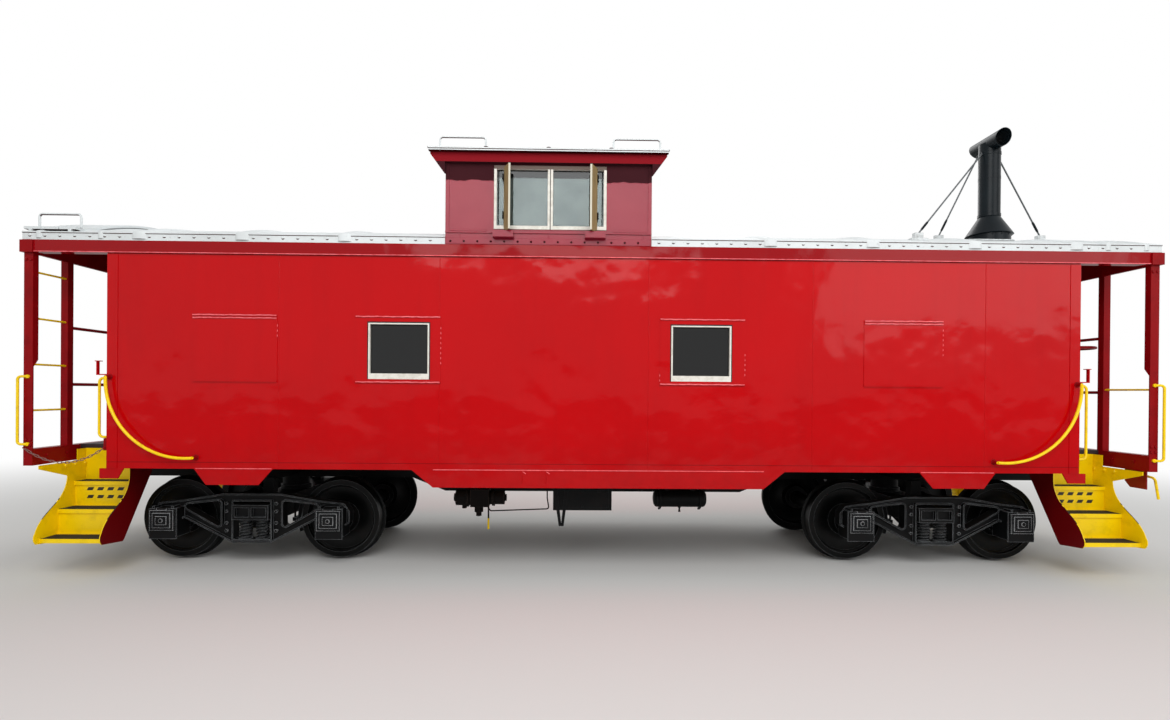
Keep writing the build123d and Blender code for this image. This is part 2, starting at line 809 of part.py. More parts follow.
# Couplers: shank, head with guard arm, and the knuckle, drawn at the right end from above
coupler_head_half = 140
coupler_shank_half = 65
coupler_shank_height = 80
coupler_line = car_half_length + 365
coupler_corner = 14
knuckle_half = 115
with BuildPart() as coupler:
    with BuildSketch(Plane.XY.offset(coupler_height - coupler_head_half)):
        with BuildLine():
            back = coupler_line - 290
            FilletPolyline((back, -coupler_shank_half - 20), (back, coupler_shank_half + 20),
                           (back + 90, 150),
                           (coupler_line - 40, 200), (coupler_line - 25, 165), (coupler_line - 110, 70),
                           (coupler_line - 130, -60), (coupler_line - 110, -95), (coupler_line - 120, -190),
                           (back + 110, -160), radius=coupler_corner, close=True)
        make_face()
    extrude(amount=2 * coupler_head_half)
    with BuildSketch(Plane.XY.offset(coupler_height - knuckle_half)):
        with BuildLine():
            FilletPolyline((coupler_line - 150, -190), (coupler_line - 60, -200), (coupler_line, -130),
                           (coupler_line, -20), (coupler_line - 45, 5), (coupler_line - 80, -40),
                           (coupler_line - 100, -80), (coupler_line - 150, -100), radius=coupler_corner,
                           close=True)
        make_face()
    extrude(amount=2 * knuckle_half)
    turned(coupler_line - 105, -150, coupler_height - coupler_head_half - 12, 22,
           2 * coupler_head_half + 24, (0, 0, 1))
    block(end_sill_in + 1, back + 30, -coupler_shank_half, coupler_shank_half,
          coupler_height - coupler_shank_height,
          coupler_height + coupler_shank_height)
with BuildPart() as couplers:
    add(coupler.part)
    add(coupler.part.rotate(Axis.Z, 180))
keep(couplers, "couplers")

# Uncoupling levers at the near right and far left corners, each with a plate under the end sill
lever_x = car_half_length + 75
lever_radius = 12
lever_plate_y = 1290
lever_plate_half = 120
lever_plate_low = 890
lever_plate_thickness = 10
lever_inner_y = 560
with BuildPart() as uncoupling_levers:
    for turn in (1, -1):
        y = turn * -lever_plate_y
        plate_x = turn * car_half_length
        bent_bar([(turn * lever_x, 0, end_sill_bottom - 15), (turn * lever_x, y, end_sill_bottom - 60),
                  (turn * (lever_x + 40), y - turn * 90, end_sill_bottom - 80),
                  (turn * (lever_x + 70), y - turn * 100, end_sill_bottom - 290)], 40, lever_radius)
        with BuildSketch(across(plate_x)):
            Polygon((y - turn * lever_plate_half, end_sill_bottom + 60),
                    (y + turn * lever_plate_half, end_sill_bottom + 60),
                    (y + turn * lever_plate_half, lever_plate_low + 60),
                    (y + turn * lever_plate_half / 2, lever_plate_low),
                    (y - turn * lever_plate_half, lever_plate_low), align=None)
        extrude(amount=turn * lever_plate_thickness)
        for eye_y, eye_z in ((y + turn * 30, end_sill_bottom - 59),
                             (-turn * lever_inner_y, end_sill_bottom - 35)):
            xs = sorted((plate_x, turn * (lever_x + lever_radius + 8)))
            block(xs[0], xs[1], eye_y - 6, eye_y + 6, eye_z - 24, eye_z + 24)
        xs = sorted((plate_x, turn * (car_half_length + lever_plate_thickness)))
        block(xs[0], xs[1], -turn * lever_inner_y - 40, -turn * lever_inner_y + 40, end_sill_bottom - 60,
              end_sill_bottom + 60)
keep(uncoupling_levers, "uncoupling_levers")

# Smokejack
with BuildPart() as smokejack:
    with BuildSketch(Plane(origin=(jack_x, jack_y, 0), x_dir=(1, 0, 0), z_dir=(0, -1, 0))):
        base = roof_arc(jack_y - jack_drum_radius) - 10
        with BuildLine():
            Polyline((0, base), (jack_drum_radius, base), (jack_drum_radius, jack_drum_top - 6),
                     (jack_cone_radius, jack_drum_top), (jack_radius, jack_cone_top),
                     (jack_radius, jack_head_height), (0, jack_head_height), close=True)
        make_face()
    revolve(axis=Axis((jack_x, jack_y, 0), (0, 0, 1)))
    head_start = jack_y - jack_head_length / 2
    turned(jack_x, head_start, jack_head_height, jack_head_radius, jack_head_length, (0, 1, 0))
    turned(jack_x, head_start, jack_head_height, jack_head_radius - jack_wall, jack_head_length, (0, 1, 0),
           mode=Mode.SUBTRACT)
    for angle in (-1, 1):
        with BuildSketch(Plane(origin=(jack_x, jack_y, jack_head_height), x_dir=(0, 1, 0),
                               z_dir=(1, 0, 0))):
            reach = jack_head_length / 2
            Polygon((angle * reach, jack_head_radius), (angle * (reach + 40), jack_head_radius),
                    (angle * (reach + 40), -jack_head_radius - 5),
                    (angle * (reach - 60), -jack_head_radius - 5),
                    align=None)
        extrude(amount=2 * jack_head_radius, both=True, mode=Mode.SUBTRACT)
    add(roof.part, mode=Mode.SUBTRACT)
keep(smokejack, "smokejack")

with BuildPart() as smokejack_stays:
    for x, y in stay_feet:
        foot = roof_arc(y) + 60
        reach = Vector(x - jack_x, y - jack_y, 0).normalized()
        start = Vector(jack_x, jack_y, stay_collar) + reach * (jack_radius + 6)
        finish = Vector(x, y, foot)
        turned(start.X, start.Y, start.Z, stay_radius, (finish - start).length, (finish - start))
        block(x - 40, x + 40, y - 25, y + 25, roof_arc(y) - 8, foot + 8)
    add(roof.part, mode=Mode.SUBTRACT)
    add(smokejack.part, mode=Mode.SUBTRACT)
keep(smokejack_stays, "smokejack_stays")

# Running boards of three planks on saddles, with a planked corner platform at each ladder
board_width = 148
board_gap = 8
board_half = 1.5 * board_width + board_gap
board_thickness = 25
board_low = crown_top + 60
board_overhang = 20
saddle_half = 30
cupola_gap = 30
platform_outer = 1520
platform_inner = 1400
platform_length = 490
platform_planks = 3
platform_rise = 22
platform_bearer = 80
platform_foot = roof_arc(platform_outer) + platform_rise


def platform_piece(x, length, side, low, high):
    """A strip that follows the roof out from the running board, between two heights over its underside."""
    inner = board_half + board_gap
    middle = (inner + platform_inner) / 2
    crest = roof_arc(middle) + platform_rise + 15
    with BuildLine(across(x)) as edge:
        ThreePointArc((side * inner, board_low + low), (side * middle, crest + low),
                      (side * platform_inner, platform_foot + low))
        Polyline((side * platform_inner, platform_foot + low), (side * platform_outer, platform_foot + low),
                 (side * platform_outer, platform_foot + high),
                 (side * platform_inner, platform_foot + high))
        ThreePointArc((side * platform_inner, platform_foot + high), (side * middle, crest + high),
                      (side * inner, board_low + high))
        Line((side * inner, board_low + high), (side * inner, board_low + low))
    extrude(Face(Wire(edge.line.edges())), amount=length, dir=(1, 0, 0))


with BuildPart() as running_boards:
    for x0, x1 in ((-car_half_length - board_overhang, cupola_left - cupola_gap),
                   (cupola_right + cupola_gap, car_half_length + board_overhang)):
        for row in (-1, 0, 1):
            y = row * (board_width + board_gap)
            block(x0, x1, y - board_width / 2, y + board_width / 2, board_low, board_low + board_thickness)
        for x in (x0 + 300, (x0 + x1) / 2, x1 - 300):
            block(x - saddle_half, x + saddle_half, -board_half, board_half, crown_top - 8, board_low)
    pitch = (platform_length + board_gap) / platform_planks
    for turn in (1, -1):
        x_start = turn * (car_half_length + 10)
        for index in range(platform_planks):
            x0 = x_start - turn * index * pitch
            x1 = x0 - turn * (pitch - board_gap)
            platform_piece(min(x0, x1), abs(x1 - x0), turn, 0, board_thickness)
        for x in (x_start - turn * 60, x_start - turn * (platform_length - 60)):
            platform_piece(x - saddle_half / 2, saddle_half, turn, -platform_bearer, 0)
    add(roof.part, mode=Mode.SUBTRACT)
keep(running_boards, "running_boards")

hand_rail_y = 1470
hand_rail_rise = 130
hand_rail_length = 395
cupola_rail_y = 1300
cupola_rail_rise = 125
cupola_rails = [
    # first x, last x
    (-1600, -1144),
    (132, 600),
]
with BuildPart() as roof_hand_rails:
    for turn in (1, -1):
        x0 = turn * (car_half_length - 98)
        x1 = turn * (x0 * turn - hand_rail_length)
        y = turn * hand_rail_y
        foot = platform_foot + board_thickness
        bent_bar([(x0, y, foot), (x0, y, foot + hand_rail_rise), (x1, y, foot + hand_rail_rise),
                  (x1, y, foot)], 30, 11)
    for x0, x1 in cupola_rails:
        for side in rail_sides:
            y = side * cupola_rail_y
            foot = arc_height(cupola_rail_y, cupola_roof_half, cupola_wall_top + cupola_roof_thickness,
                              cupola_roof_rise - cupola_roof_thickness)
            top = foot + cupola_rail_rise
            bent_bar([(x0, y, foot - 6), (x0, y, top), (x1, y, top), (x1, y, foot - 6)], 30, 9)
    add(cupola_roof.part, mode=Mode.SUBTRACT)
keep(roof_hand_rails, "roof_hand_rails")

# Underframe
with BuildPart() as underframe:
    top = deck_top - floor_thickness
    with BuildSketch(along(center_half_width)):
        with BuildLine():
            Polyline((-end_sill_in, center_shallow), (-center_shallow_half, center_shallow),
                     (-center_belly_half, center_belly), (center_belly_half, center_belly),
                     (center_shallow_half, center_shallow), (end_sill_in, center_shallow),
                     (end_sill_in, top),
                     (-end_sill_in, top), close=True)
        make_face()
    extrude(amount=2 * center_half_width)
    for side in rail_sides:
        ys = sorted((side * (body_inner - 60), side * body_inner))
        block(-room_half_length, room_half_length, ys[0], ys[1], sill_bottom, top)
    for end in rail_sides:
        xs = sorted((end * room_half_length, end * body_half_length))
        block(xs[0], xs[1], -body_inner, body_inner, sill_bottom, top)
    for x in bearers:
        with BuildSketch(across(x - bearer_half)):
            Polygon((-body_inner, sill_bottom), (-center_half_width, bearer_low),
                    (center_half_width, bearer_low),
                    (body_inner, sill_bottom), (body_inner, top), (-body_inner, top), align=None)
        extrude(amount=2 * bearer_half)
    for truck_name, x in truck_centers:
        with BuildSketch(across(x - bolster_half_length)):
            Polygon((-body_inner, sill_bottom), (-bolster_belly_half, bolster_belly_top),
                    (bolster_belly_half, bolster_belly_top), (body_inner, sill_bottom),
                    (body_inner, top), (-body_inner, top), align=None)
        extrude(amount=2 * bolster_half_length)
        turned(x, 0, bolster_low, center_plate_radius - 20, bolster_belly_top - bolster_low + 20, (0, 0, 1))
        for side in rail_sides:
            ys = sorted((side * (side_bearing_y - side_bearing_half),
                         side * (side_bearing_y + side_bearing_half)))
            block(x - side_bearing_half, x + side_bearing_half, ys[0], ys[1],
                  side_bearing_top + side_bearing_gap,
                  bolster_belly_top + 10)
    for end in rail_sides:
        xs = sorted((end * end_sill_in, end * (car_half_length + striker_out)))
        block(xs[0], xs[1], -center_half_width, center_half_width, coupler_height - striker_half,
              end_sill_bottom)
        block(xs[0], xs[1], -striker_bore_y, striker_bore_y, coupler_height - striker_bore_z,
              coupler_height + striker_bore_z, mode=Mode.SUBTRACT)
keep(underframe, "underframe")

# Brake gear and boxes under the floor, each hung from the floor's underside by straps
floor_under = deck_top - floor_thickness


def strap(x, y, bottom, width=40, depth=60):
    """A flat hanger from the floor's underside down to a fitting."""
    block(x - width / 2, x + width / 2, y - depth / 2, y + depth / 2, bottom, floor_under)


cylinder_x = 300
cylinder_y = 700
cylinder_height = 740
cylinder_radius = 120
cylinder_length = 260
cylinder_nose_radius = 60
cylinder_nose_length = 80
push_rod_radius = 24
push_rod_length = 190
push_lever_start = 170
push_lever_end = 230
push_lever_inner = 200
push_lever_half = 12
strap_sink = 20
cylinder_strap_inset = 60
flange_out = 18
flange_thickness = 16
with BuildPart() as brake_cylinder:
    turned(cylinder_x, cylinder_y, cylinder_height, cylinder_radius, cylinder_length, (1, 0, 0))
    for x in (cylinder_x - flange_thickness, cylinder_x + cylinder_length):
        turned(x, cylinder_y, cylinder_height, cylinder_radius + flange_out, flange_thickness, (1, 0, 0))
    nose_x = cylinder_x + cylinder_length
    turned(nose_x, cylinder_y, cylinder_height, cylinder_nose_radius, cylinder_nose_length, (1, 0, 0))
    turned(nose_x, cylinder_y, cylinder_height, push_rod_radius, push_rod_length, (1, 0, 0))
    block(nose_x + push_lever_start, nose_x + push_lever_end, push_lever_inner,
          cylinder_y + cylinder_nose_radius, cylinder_height - push_lever_half,
          cylinder_height + push_lever_half)
    for x in (cylinder_x + cylinder_strap_inset, nose_x - cylinder_strap_inset):
        strap(x, cylinder_y, cylinder_height + cylinder_radius - strap_sink)
keep(brake_cylinder, "brake_cylinder")

reservoir_x = 690
reservoir_y = -600
reservoir_height = 640
reservoir_radius = 95
reservoir_length = 520
reservoir_band_inset = 30
reservoir_strap_inset = 120
with BuildPart() as air_reservoir:
    turned(reservoir_x, reservoir_y, reservoir_height, reservoir_radius, reservoir_length, (1, 0, 0))
    reservoir_end = reservoir_x + reservoir_length
    for x in (reservoir_x + reservoir_band_inset, reservoir_end - reservoir_band_inset - flange_thickness):
        turned(x, reservoir_y, reservoir_height, reservoir_radius + flange_out, flange_thickness, (1, 0, 0))
    for x in (reservoir_x + reservoir_strap_inset, reservoir_end - reservoir_strap_inset):
        strap(x, reservoir_y, reservoir_height + reservoir_radius - strap_sink)
keep(air_reservoir, "air_reservoir")

valve_x = -1270
valve_y = -600
valve_top = 740
valve_half_length = 100
valve_half_width = 110
valve_body_height = 190
valve_axis = valve_top - 100
valve_flange_inset = 130
valve_flange_out = 16
valve_plug_length = 22
valve_strap_x = 40
valve_strap_sink = 10
valve_handle_x = 95
valve_handle_y = -60
valve_handle_radius = 9
valve_handle_length = 250
valve_pipe_radius = 7
valve_pipe_bend = 25
# Barrels at the two ends of the valve body: end, length, radius
valve_barrels = (
    (-1, 170, 88),
    (1, 165, 76),
)
# Round caps under the valve: place along the car, level below the top, radius, length
valve_caps = (
    (-20, 190, 48, 70),
    (-20, 260, 30, 45),
    (-180, 170, 26, 50),
)
# Thin pipe from the valve to the floor: place along the car, level below the top
valve_pipe = (
    (60, 180),
    (110, 250),
    (760, 225),
    (740, 100),
)
with BuildPart() as control_valve:
    block(valve_x - valve_half_length, valve_x + valve_half_length, valve_y - valve_half_width,
          valve_y + valve_half_width, valve_top - valve_body_height, valve_top)
    for end, length, radius in valve_barrels:
        turned(valve_x + end * valve_half_length, valve_y, valve_axis, radius, length, (end, 0, 0))
        turned(valve_x + end * valve_flange_inset, valve_y, valve_axis, radius + valve_flange_out,
               flange_thickness,
               (end, 0, 0))
        turned(valve_x + end * (valve_half_length + length), valve_y, valve_axis, radius / 2,
               valve_plug_length,
               (end, 0, 0))
    for x, level, radius, length in valve_caps:
        turned(valve_x + x, valve_y, valve_top - level, radius, length, (0, 0, -1))
    turned(valve_x + valve_handle_x, valve_y + valve_handle_y, valve_top - valve_body_height,
           valve_handle_radius,
           valve_handle_length, (0, 0, -1))
    runs = [(valve_x + x, valve_y, valve_top - level) for x, level in valve_pipe]
    bent_bar(runs + [(runs[-1][0], valve_y, floor_under)], valve_pipe_bend, valve_pipe_radius)
    for x in (valve_x - valve_strap_x, valve_x + valve_strap_x):
        strap(x, valve_y, valve_top - valve_strap_sink, 60, 120)
keep(control_valve, "control_valve")

box_left = -450
box_right = 150
box_front = -1170
box_back = -800
box_bottom = 610
box_top = 850
hanger_low = 452
box_lid_out = 12
box_lid_thickness = 14
box_panel_out = 8
box_panel_inset = 30
box_strap_inset = 70
hanger_plate_out = 22
# V-shaped hanger on the box's front, from the box's left end
hanger_width = 160
hanger_leg = 40
hanger_fork_x = 85
hanger_fork_height = 30
hanger_toe_left = 60
hanger_toe_right = 110
hanger_thickness = 10
hanger_plate_drop = 20
with BuildPart() as equipment_box:
    block(box_left, box_right, box_front, box_back, box_bottom, box_top)
    block(box_left - box_lid_out, box_right + box_lid_out, box_front - box_lid_out, box_back, box_top,
          box_top + box_lid_thickness)
    block(box_left + box_panel_inset, box_right - box_panel_inset, box_front - box_panel_out, box_front,
          box_bottom + box_panel_inset, box_top - box_panel_inset)
    for x in (box_left + box_strap_inset, box_right - box_strap_inset):
        strap(x, (box_front + box_back) / 2, box_top)
    with BuildSketch(along(box_front - box_lid_out)):
        Polygon((box_left, box_top), (box_left + hanger_leg, box_top),
                (box_left + hanger_fork_x, hanger_low + hanger_fork_height),
                (box_left + hanger_width - hanger_leg, box_top), (box_left + hanger_width, box_top),
                (box_left + hanger_toe_right, hanger_low), (box_left + hanger_toe_left, hanger_low),
                align=None)
    extrude(amount=hanger_thickness)
    block(box_left, box_left + hanger_width, box_front - hanger_plate_out, box_front,
          box_top - hanger_plate_drop, box_top + box_lid_thickness)
keep(equipment_box, "equipment_box")

pipe_y = 330
pipe_height = 815
pipe_radius = 21
pipe_end_x = car_half_length + 75
pipe_end_height = 900
with BuildPart() as brake_pipe:
    for end in rail_sides:
        bent_bar([(0, pipe_y, pipe_height), (end * (pipe_end_x - 230), pipe_y, pipe_height),
                  (end * pipe_end_x, pipe_y, pipe_end_height)],
                 60, pipe_radius)
    for x in bearers:
        block(x - 15, x + 15, pipe_y - 8, pipe_y + 8, pipe_height, bearer_low + 100)
    add(underframe.part, mode=Mode.SUBTRACT)
keep(brake_pipe, "brake_pipe")

# Hand brake at the near right corner: staff in a floor socket and a bracket, wheel on top
brake_x = end_sill_in - 70
brake_staff_y = -700
brake_staff_radius = 25
brake_wheel_height = 2350
brake_wheel_radius = 200
brake_rim_radius = 15
brake_staff_rise = 40
brake_foot_height = 30
brake_hub_height = 50
brake_spoke_width = 22
brake_bracket_inner = 35
brake_bracket_half_width = 20
brake_bracket_half_height = 8
brake_spokes = 5
with BuildPart() as hand_brake:
    turned(brake_x, brake_staff_y, deck_top, brake_staff_radius,
           brake_wheel_height + brake_staff_rise - deck_top,
           (0, 0, 1))
    turned(brake_x, brake_staff_y, deck_top, 2 * brake_staff_radius, brake_foot_height, (0, 0, 1))
    with BuildSketch(Plane.XY.offset(brake_wheel_height - brake_rim_radius)):
        with Locations((brake_x, brake_staff_y)):
            Circle(brake_wheel_radius)
            Circle(brake_wheel_radius - 2 * brake_rim_radius, mode=Mode.SUBTRACT)
    extrude(amount=2 * brake_rim_radius)
    circles = edges().filter_by(GeomType.CIRCLE)
    rim_edges = circles.filter_by(lambda edge: edge.radius > 3 * brake_staff_radius)
    fillet(rim_edges, brake_rim_radius - 2)
    turned(brake_x, brake_staff_y, brake_wheel_height - brake_hub_height / 2, 2 * brake_staff_radius,
           brake_hub_height, (0, 0, 1))
    with BuildSketch(Plane.XY.offset(brake_wheel_height - 6)):
        with Locations((brake_x, brake_staff_y)):
            with PolarLocations(brake_wheel_radius / 2, brake_spokes):
                Rectangle(brake_wheel_radius - 2 * brake_rim_radius, brake_spoke_width)
    extrude(amount=12)
    block(brake_x - brake_bracket_inner, rung_x - rail_radius / 2, brake_staff_y - brake_bracket_half_width,
          brake_staff_y + brake_bracket_half_width, rail_heights[0] - brake_bracket_half_height,
          rail_heights[0] + brake_bracket_half_height)
    add(end_railings.part, mode=Mode.SUBTRACT)
keep(hand_brake, "hand_brake")

# Inside the cabin: bench lockers, cupola seats on their lockers, a desk, a stove and its pipe
bench_depth = 600
bench_height = 450
back_thickness = 90
back_height = 500
benches = [
    # first x, last x, side
    (-body_half_length + 400, -2500, -1),
    (-body_half_length + 400, -2500, 1),
    (1500, 3300, -1),
]
locker_depth = 700
locker_height = 1150
locker_gap = 20
seat_length = 480
seat_height = 160
seat_back_height = 620
desk_x = (2300, 3300)
desk_depth = 620
desk_height = 760
desk_top_thickness = 40
stove_radius = 230
stove_height = 800
stove_leg = 120
stove_pipe_radius = 75
with BuildPart() as cabin_furniture:
    for x0, x1, side in benches:
        ys = sorted((side * body_inner, side * (body_inner - bench_depth)))
        block(x0, x1, ys[0], ys[1], deck_top, deck_top + bench_height)
        ys = sorted((side * body_inner, side * (body_inner - back_thickness)))
        block(x0, x1, ys[0], ys[1], deck_top + bench_height, deck_top + bench_height + back_height)
    locker_top = deck_top + locker_height
    for side in rail_sides:
        ys = sorted((side * body_inner, side * (body_inner - locker_depth)))
        block(cupola_left + locker_gap, cupola_right - locker_gap, ys[0], ys[1], deck_top, locker_top)
        for x, end in ((cupola_left + locker_gap, 1), (cupola_right - locker_gap, -1)):
            xs = sorted((x, x + end * seat_length))
            block(xs[0], xs[1], ys[0] + locker_gap, ys[1] - locker_gap, locker_top,
                  locker_top + seat_height)
            xs = sorted((x, x + end * back_thickness))
            block(xs[0], xs[1], ys[0] + locker_gap, ys[1] - locker_gap, locker_top + seat_height,
                  locker_top + seat_height + seat_back_height)
    desk_front = body_inner - desk_depth
    block(desk_x[0], desk_x[1], desk_front, body_inner, deck_top + desk_height - desk_top_thickness,
          deck_top + desk_height)
    for x in desk_x:
        inward = 1 if x == desk_x[0] else -1
        xs = sorted((x, x + inward * 350))
        block(xs[0], xs[1], desk_front + 40, body_inner, deck_top,
              deck_top + desk_height - desk_top_thickness)
    stove_top = deck_top + stove_leg + stove_height
    turned(jack_x, jack_y, deck_top + stove_leg, stove_radius, stove_height, (0, 0, 1))
    turned(jack_x, jack_y, deck_top + stove_leg + 250, stove_radius + 15, 40, (0, 0, 1))
    turned(jack_x, jack_y, stove_top, stove_radius - 60, 60, (0, 0, 1))
    pipe_top = arc_height(jack_y - stove_pipe_radius, body_inner, eave_top,
                          crown_top - roof_thickness - eave_top)
    turned(jack_x, jack_y, stove_top, stove_pipe_radius, pipe_top - stove_top - 1, (0, 0, 1))
    with Locations((jack_x, jack_y, deck_top)):
        with GridLocations(stove_radius, stove_radius, 2, 2):
            Cylinder(18, stove_leg + 20, align=(Align.CENTER, Align.CENTER, Align.MIN))
keep(cabin_furniture, "cabin_furniture")

# Trucks, drawn about their own centre and then set out.
# Cast side frame: top chord, tension members and columns as one open channel, with the flanges
# standing out along every edge, and a journal box at each end with its hinge lugs.
window_outline = [(column_out, 668), (735, 624), (column_out, 387)]
tension_end = 505
box_inner = wheelbase / 2 - box_half
half_outline = [
    (chord_flat_half, frame_top),
    (box_inner - 30, chord_end_top + 20),
    (frame_end_half - 60, chord_end_top - 10),
    (frame_end_half, chord_end_top - 90),
    (frame_end_half, axle_height),
    (wheelbase / 2 + box_half - 20, axle_height - 45),
    (box_inner + 7, axle_height - 45),
    (box_inner + 7, tension_end),
    (column_in, frame_bottom),
]
with BuildPart() as side_frames:
    with BuildSketch(along(-frame_face + frame_depth_y)) as members:
        with BuildLine():
            mirrored = [(-x, z) for x, z in reversed(half_outline)]
            FilletPolyline(*half_outline, *mirrored, radius=frame_corner, close=True)
        make_face()
        with Locations((0, (seat_top + opening_top) / 2)):
            Rectangle(2 * column_in, opening_top - seat_top, mode=Mode.SUBTRACT)
        for end in rail_sides:
            with BuildLine():
                FilletPolyline(*[(end * x, z) for x, z in window_outline], radius=frame_corner, close=True)
            make_face(mode=Mode.SUBTRACT)
    extrude(amount=frame_depth_y)
    pocket = offset(members.sketch, amount=-frame_flange, mode=Mode.PRIVATE)
    with BuildSketch(along(-frame_face + frame_web)):
        add(Plane.XZ.offset(frame_face - frame_depth_y).to_local_coords(pocket))
    extrude(amount=frame_depth_y, mode=Mode.SUBTRACT)
    for end in rail_sides:
        x = end * wheelbase / 2
        block(x - box_half, x + box_half, -box_face, -frame_face + frame_depth_y + 13,
              axle_height + box_low,
              axle_height + box_high)
        block(x - box_half - box_flange, x + box_half + box_flange, -box_face,
              -box_face + box_flange_thickness,
              axle_height + box_low - box_flange, axle_height + box_high)
        for edge in (-box_half + 20, box_half - 40):
            block(x + edge, x + edge + 20, -box_face + 5, -frame_face, axle_height + box_high,
                  axle_height + box_high + 25)
        turned(x, -frame_face + frame_depth_y + 18, axle_height, journal_radius + journal_clearance, 220,
               (0, -1, 0),
               mode=Mode.SUBTRACT)
        for side in rail_sides:
            inner, outer = sorted((x + side * (lid_knuckle_half + 2), x + side * (lid_knuckle_half + 20)))
            turned(inner, lid_pin_y, lid_pin_z, lid_pin_radius, outer - inner, (1, 0, 0))
            block(inner, outer, lid_pin_y, -box_face, lid_pin_z - lid_pin_radius,
                  lid_pin_z + lid_pin_radius)
    mirror(about=Plane.XZ)

with BuildPart() as truck_bolster:
    half = column_in - bolster_clearance
    with BuildSketch(across(-half)):
        Polygon((-bolster_reach, truck_bolster_low), (-frame_face + 150, truck_bolster_low),
                (-600, bolster_belly),
                (600, bolster_belly), (frame_face - 150, truck_bolster_low),
                (bolster_reach, truck_bolster_low),
                (bolster_reach, truck_bolster_top), (600, bolster_crown), (-600, bolster_crown),
                (-bolster_reach, truck_bolster_top), align=None)
    extrude(amount=2 * half)
    for side in rail_sides:
        ys = sorted((side * (bolster_reach - 40), side * bolster_reach))
        for x0, x1 in ((-half + 25, -12), (12, half - 25)):
            block(x0, x1, ys[0], ys[1], truck_bolster_low + 28, truck_bolster_top - 28, mode=Mode.SUBTRACT)
        ys = sorted((side * (side_bearing_y - side_bearing_half),
                     side * (side_bearing_y + side_bearing_half)))
        block(-side_bearing_half, side_bearing_half, ys[0], ys[1], truck_bolster_top, side_bearing_top)
    turned(0, 0, bolster_crown - 40, center_plate_radius,
           bolster_low - center_plate_gap - bolster_crown + 40, (0, 0, 1))

# Springs: nests of coils between the seat and the bolster end
with BuildPart() as truck_springs:
    coil = (truck_bolster_low - seat_top) / spring_coils
    for x in (-spring_spacing, spring_spacing):
        with BuildSketch(Plane(origin=(x, -journal_y, 0), x_dir=(1, 0, 0), z_dir=(0, -1, 0))):
            with BuildLine():
                points = [(0, seat_top)]
                for index in range(spring_coils):
                    points.append((spring_radius - spring_groove, seat_top + index * coil))
                    points.append((spring_radius, seat_top + (index + 0.3) * coil))
                    points.append((spring_radius, seat_top + (index + 0.7) * coil))
                points.append((spring_radius - spring_groove, truck_bolster_low))
                points.append((0, truck_bolster_low))
                Polyline(*points, close=True)
            make_face()
        revolve(axis=Axis((x, -journal_y, 0), (0, 0, 1)))
    mirror(about=Plane.XZ)

# Brake beams with a truss rod, a shoe at each wheel and a hanger up to each side frame
with BuildPart() as brake_beams:
    for end in rail_sides:
        x = end * beam_offset
        block(x - beam_half, x + beam_half, -beam_end, beam_end, beam_height - beam_half,
              beam_height + beam_half)
        strut = end * (beam_offset - 85)
        block(*sorted((x, strut - end * 12)), -14, 14, beam_height - 14, beam_height + 14)
        for side in rail_sides:
            truss = Vector(x - strut, side * (beam_end - 60), 0)
            turned(strut, 0, beam_height, 11, truss.length, truss)
            axle_x = end * wheelbase / 2
            with BuildSketch(along(-shoe_inner if side < 0 else shoe_outer)):
                with BuildLine():
                    near = wheel_radius + shoe_gap
                    far = near + shoe_thickness
                    start = 180 - shoe_angle if end > 0 else -shoe_angle
                    inner_arc = CenterArc((axle_x, axle_height), near, start, 2 * shoe_angle)
                    outer_arc = CenterArc((axle_x, axle_height), far, start, 2 * shoe_angle)
                    Line(inner_arc @ 0, outer_arc @ 0)
                    Line(inner_arc @ 1, outer_arc @ 1)
                make_face()
            extrude(amount=shoe_outer - shoe_inner)
            bent_bar([(x, side * (beam_end - 20), beam_height), (x, side * (beam_end - 20), hanger_top),
                      (x, side * (frame_face - frame_depth_y), hanger_top)], 30, hanger_radius)

# Wheelset: axle with journals, and wheels with hub, dished plate, rim and flange
with BuildPart() as wheelset:
    tread_out = wheel_inner + wheel_width
    hub_outer = hub_inner + hub_length
    rim_under = wheel_radius - rim_thickness
    plate_at_rim = wheel_inner + 70
    plate_at_hub = wheel_inner + 45
    with BuildSketch(Plane.XY):
        with BuildLine():
            Polyline((hub_inner, hub_radius), (hub_inner, wheel_seat), (hub_inner - 60, axle_radius),
                     (0, axle_radius),
                     (0, 0), (journal_end, 0), (journal_end, journal_radius),
                     (hub_outer + 55, journal_radius),
                     (hub_outer + 40, axle_radius), (hub_outer, wheel_seat), (hub_outer, hub_radius - 8),
                     (plate_at_hub + plate_thickness + 40, hub_radius + 4),
                     (plate_at_hub + plate_thickness, hub_radius + 30))
            ThreePointArc((plate_at_hub + plate_thickness, hub_radius + 30),
                          (plate_at_hub + plate_thickness + 20, (hub_radius + rim_under) / 2),
                          (plate_at_rim + plate_thickness, rim_under - 22))
            Polyline((plate_at_rim + plate_thickness, rim_under - 22),
                     (plate_at_rim + plate_thickness + 16, rim_under),
                     (tread_out, rim_under + 6), (tread_out, wheel_radius - 6),
                     (wheel_inner + flange_width + 6, wheel_radius),
                     (wheel_inner + flange_width - 6, wheel_radius + 8),
                     (wheel_inner + flange_width - 14, wheel_radius + flange_height - 4),
                     (wheel_inner + 10, wheel_radius + flange_height),
                     (wheel_inner, wheel_radius + flange_height - 10),
                     (wheel_inner, rim_under + 6), (plate_at_rim - 16, rim_under),
                     (plate_at_rim, rim_under - 22))
            ThreePointArc((plate_at_rim, rim_under - 22), (plate_at_hub + 20, (hub_radius + rim_under) / 2),
                          (plate_at_hub, hub_radius + 30))
            Line((plate_at_hub, hub_radius + 30), (hub_inner, hub_radius))
        make_face()
    revolve(axis=Axis.X)
    mirror(about=Plane.YZ)

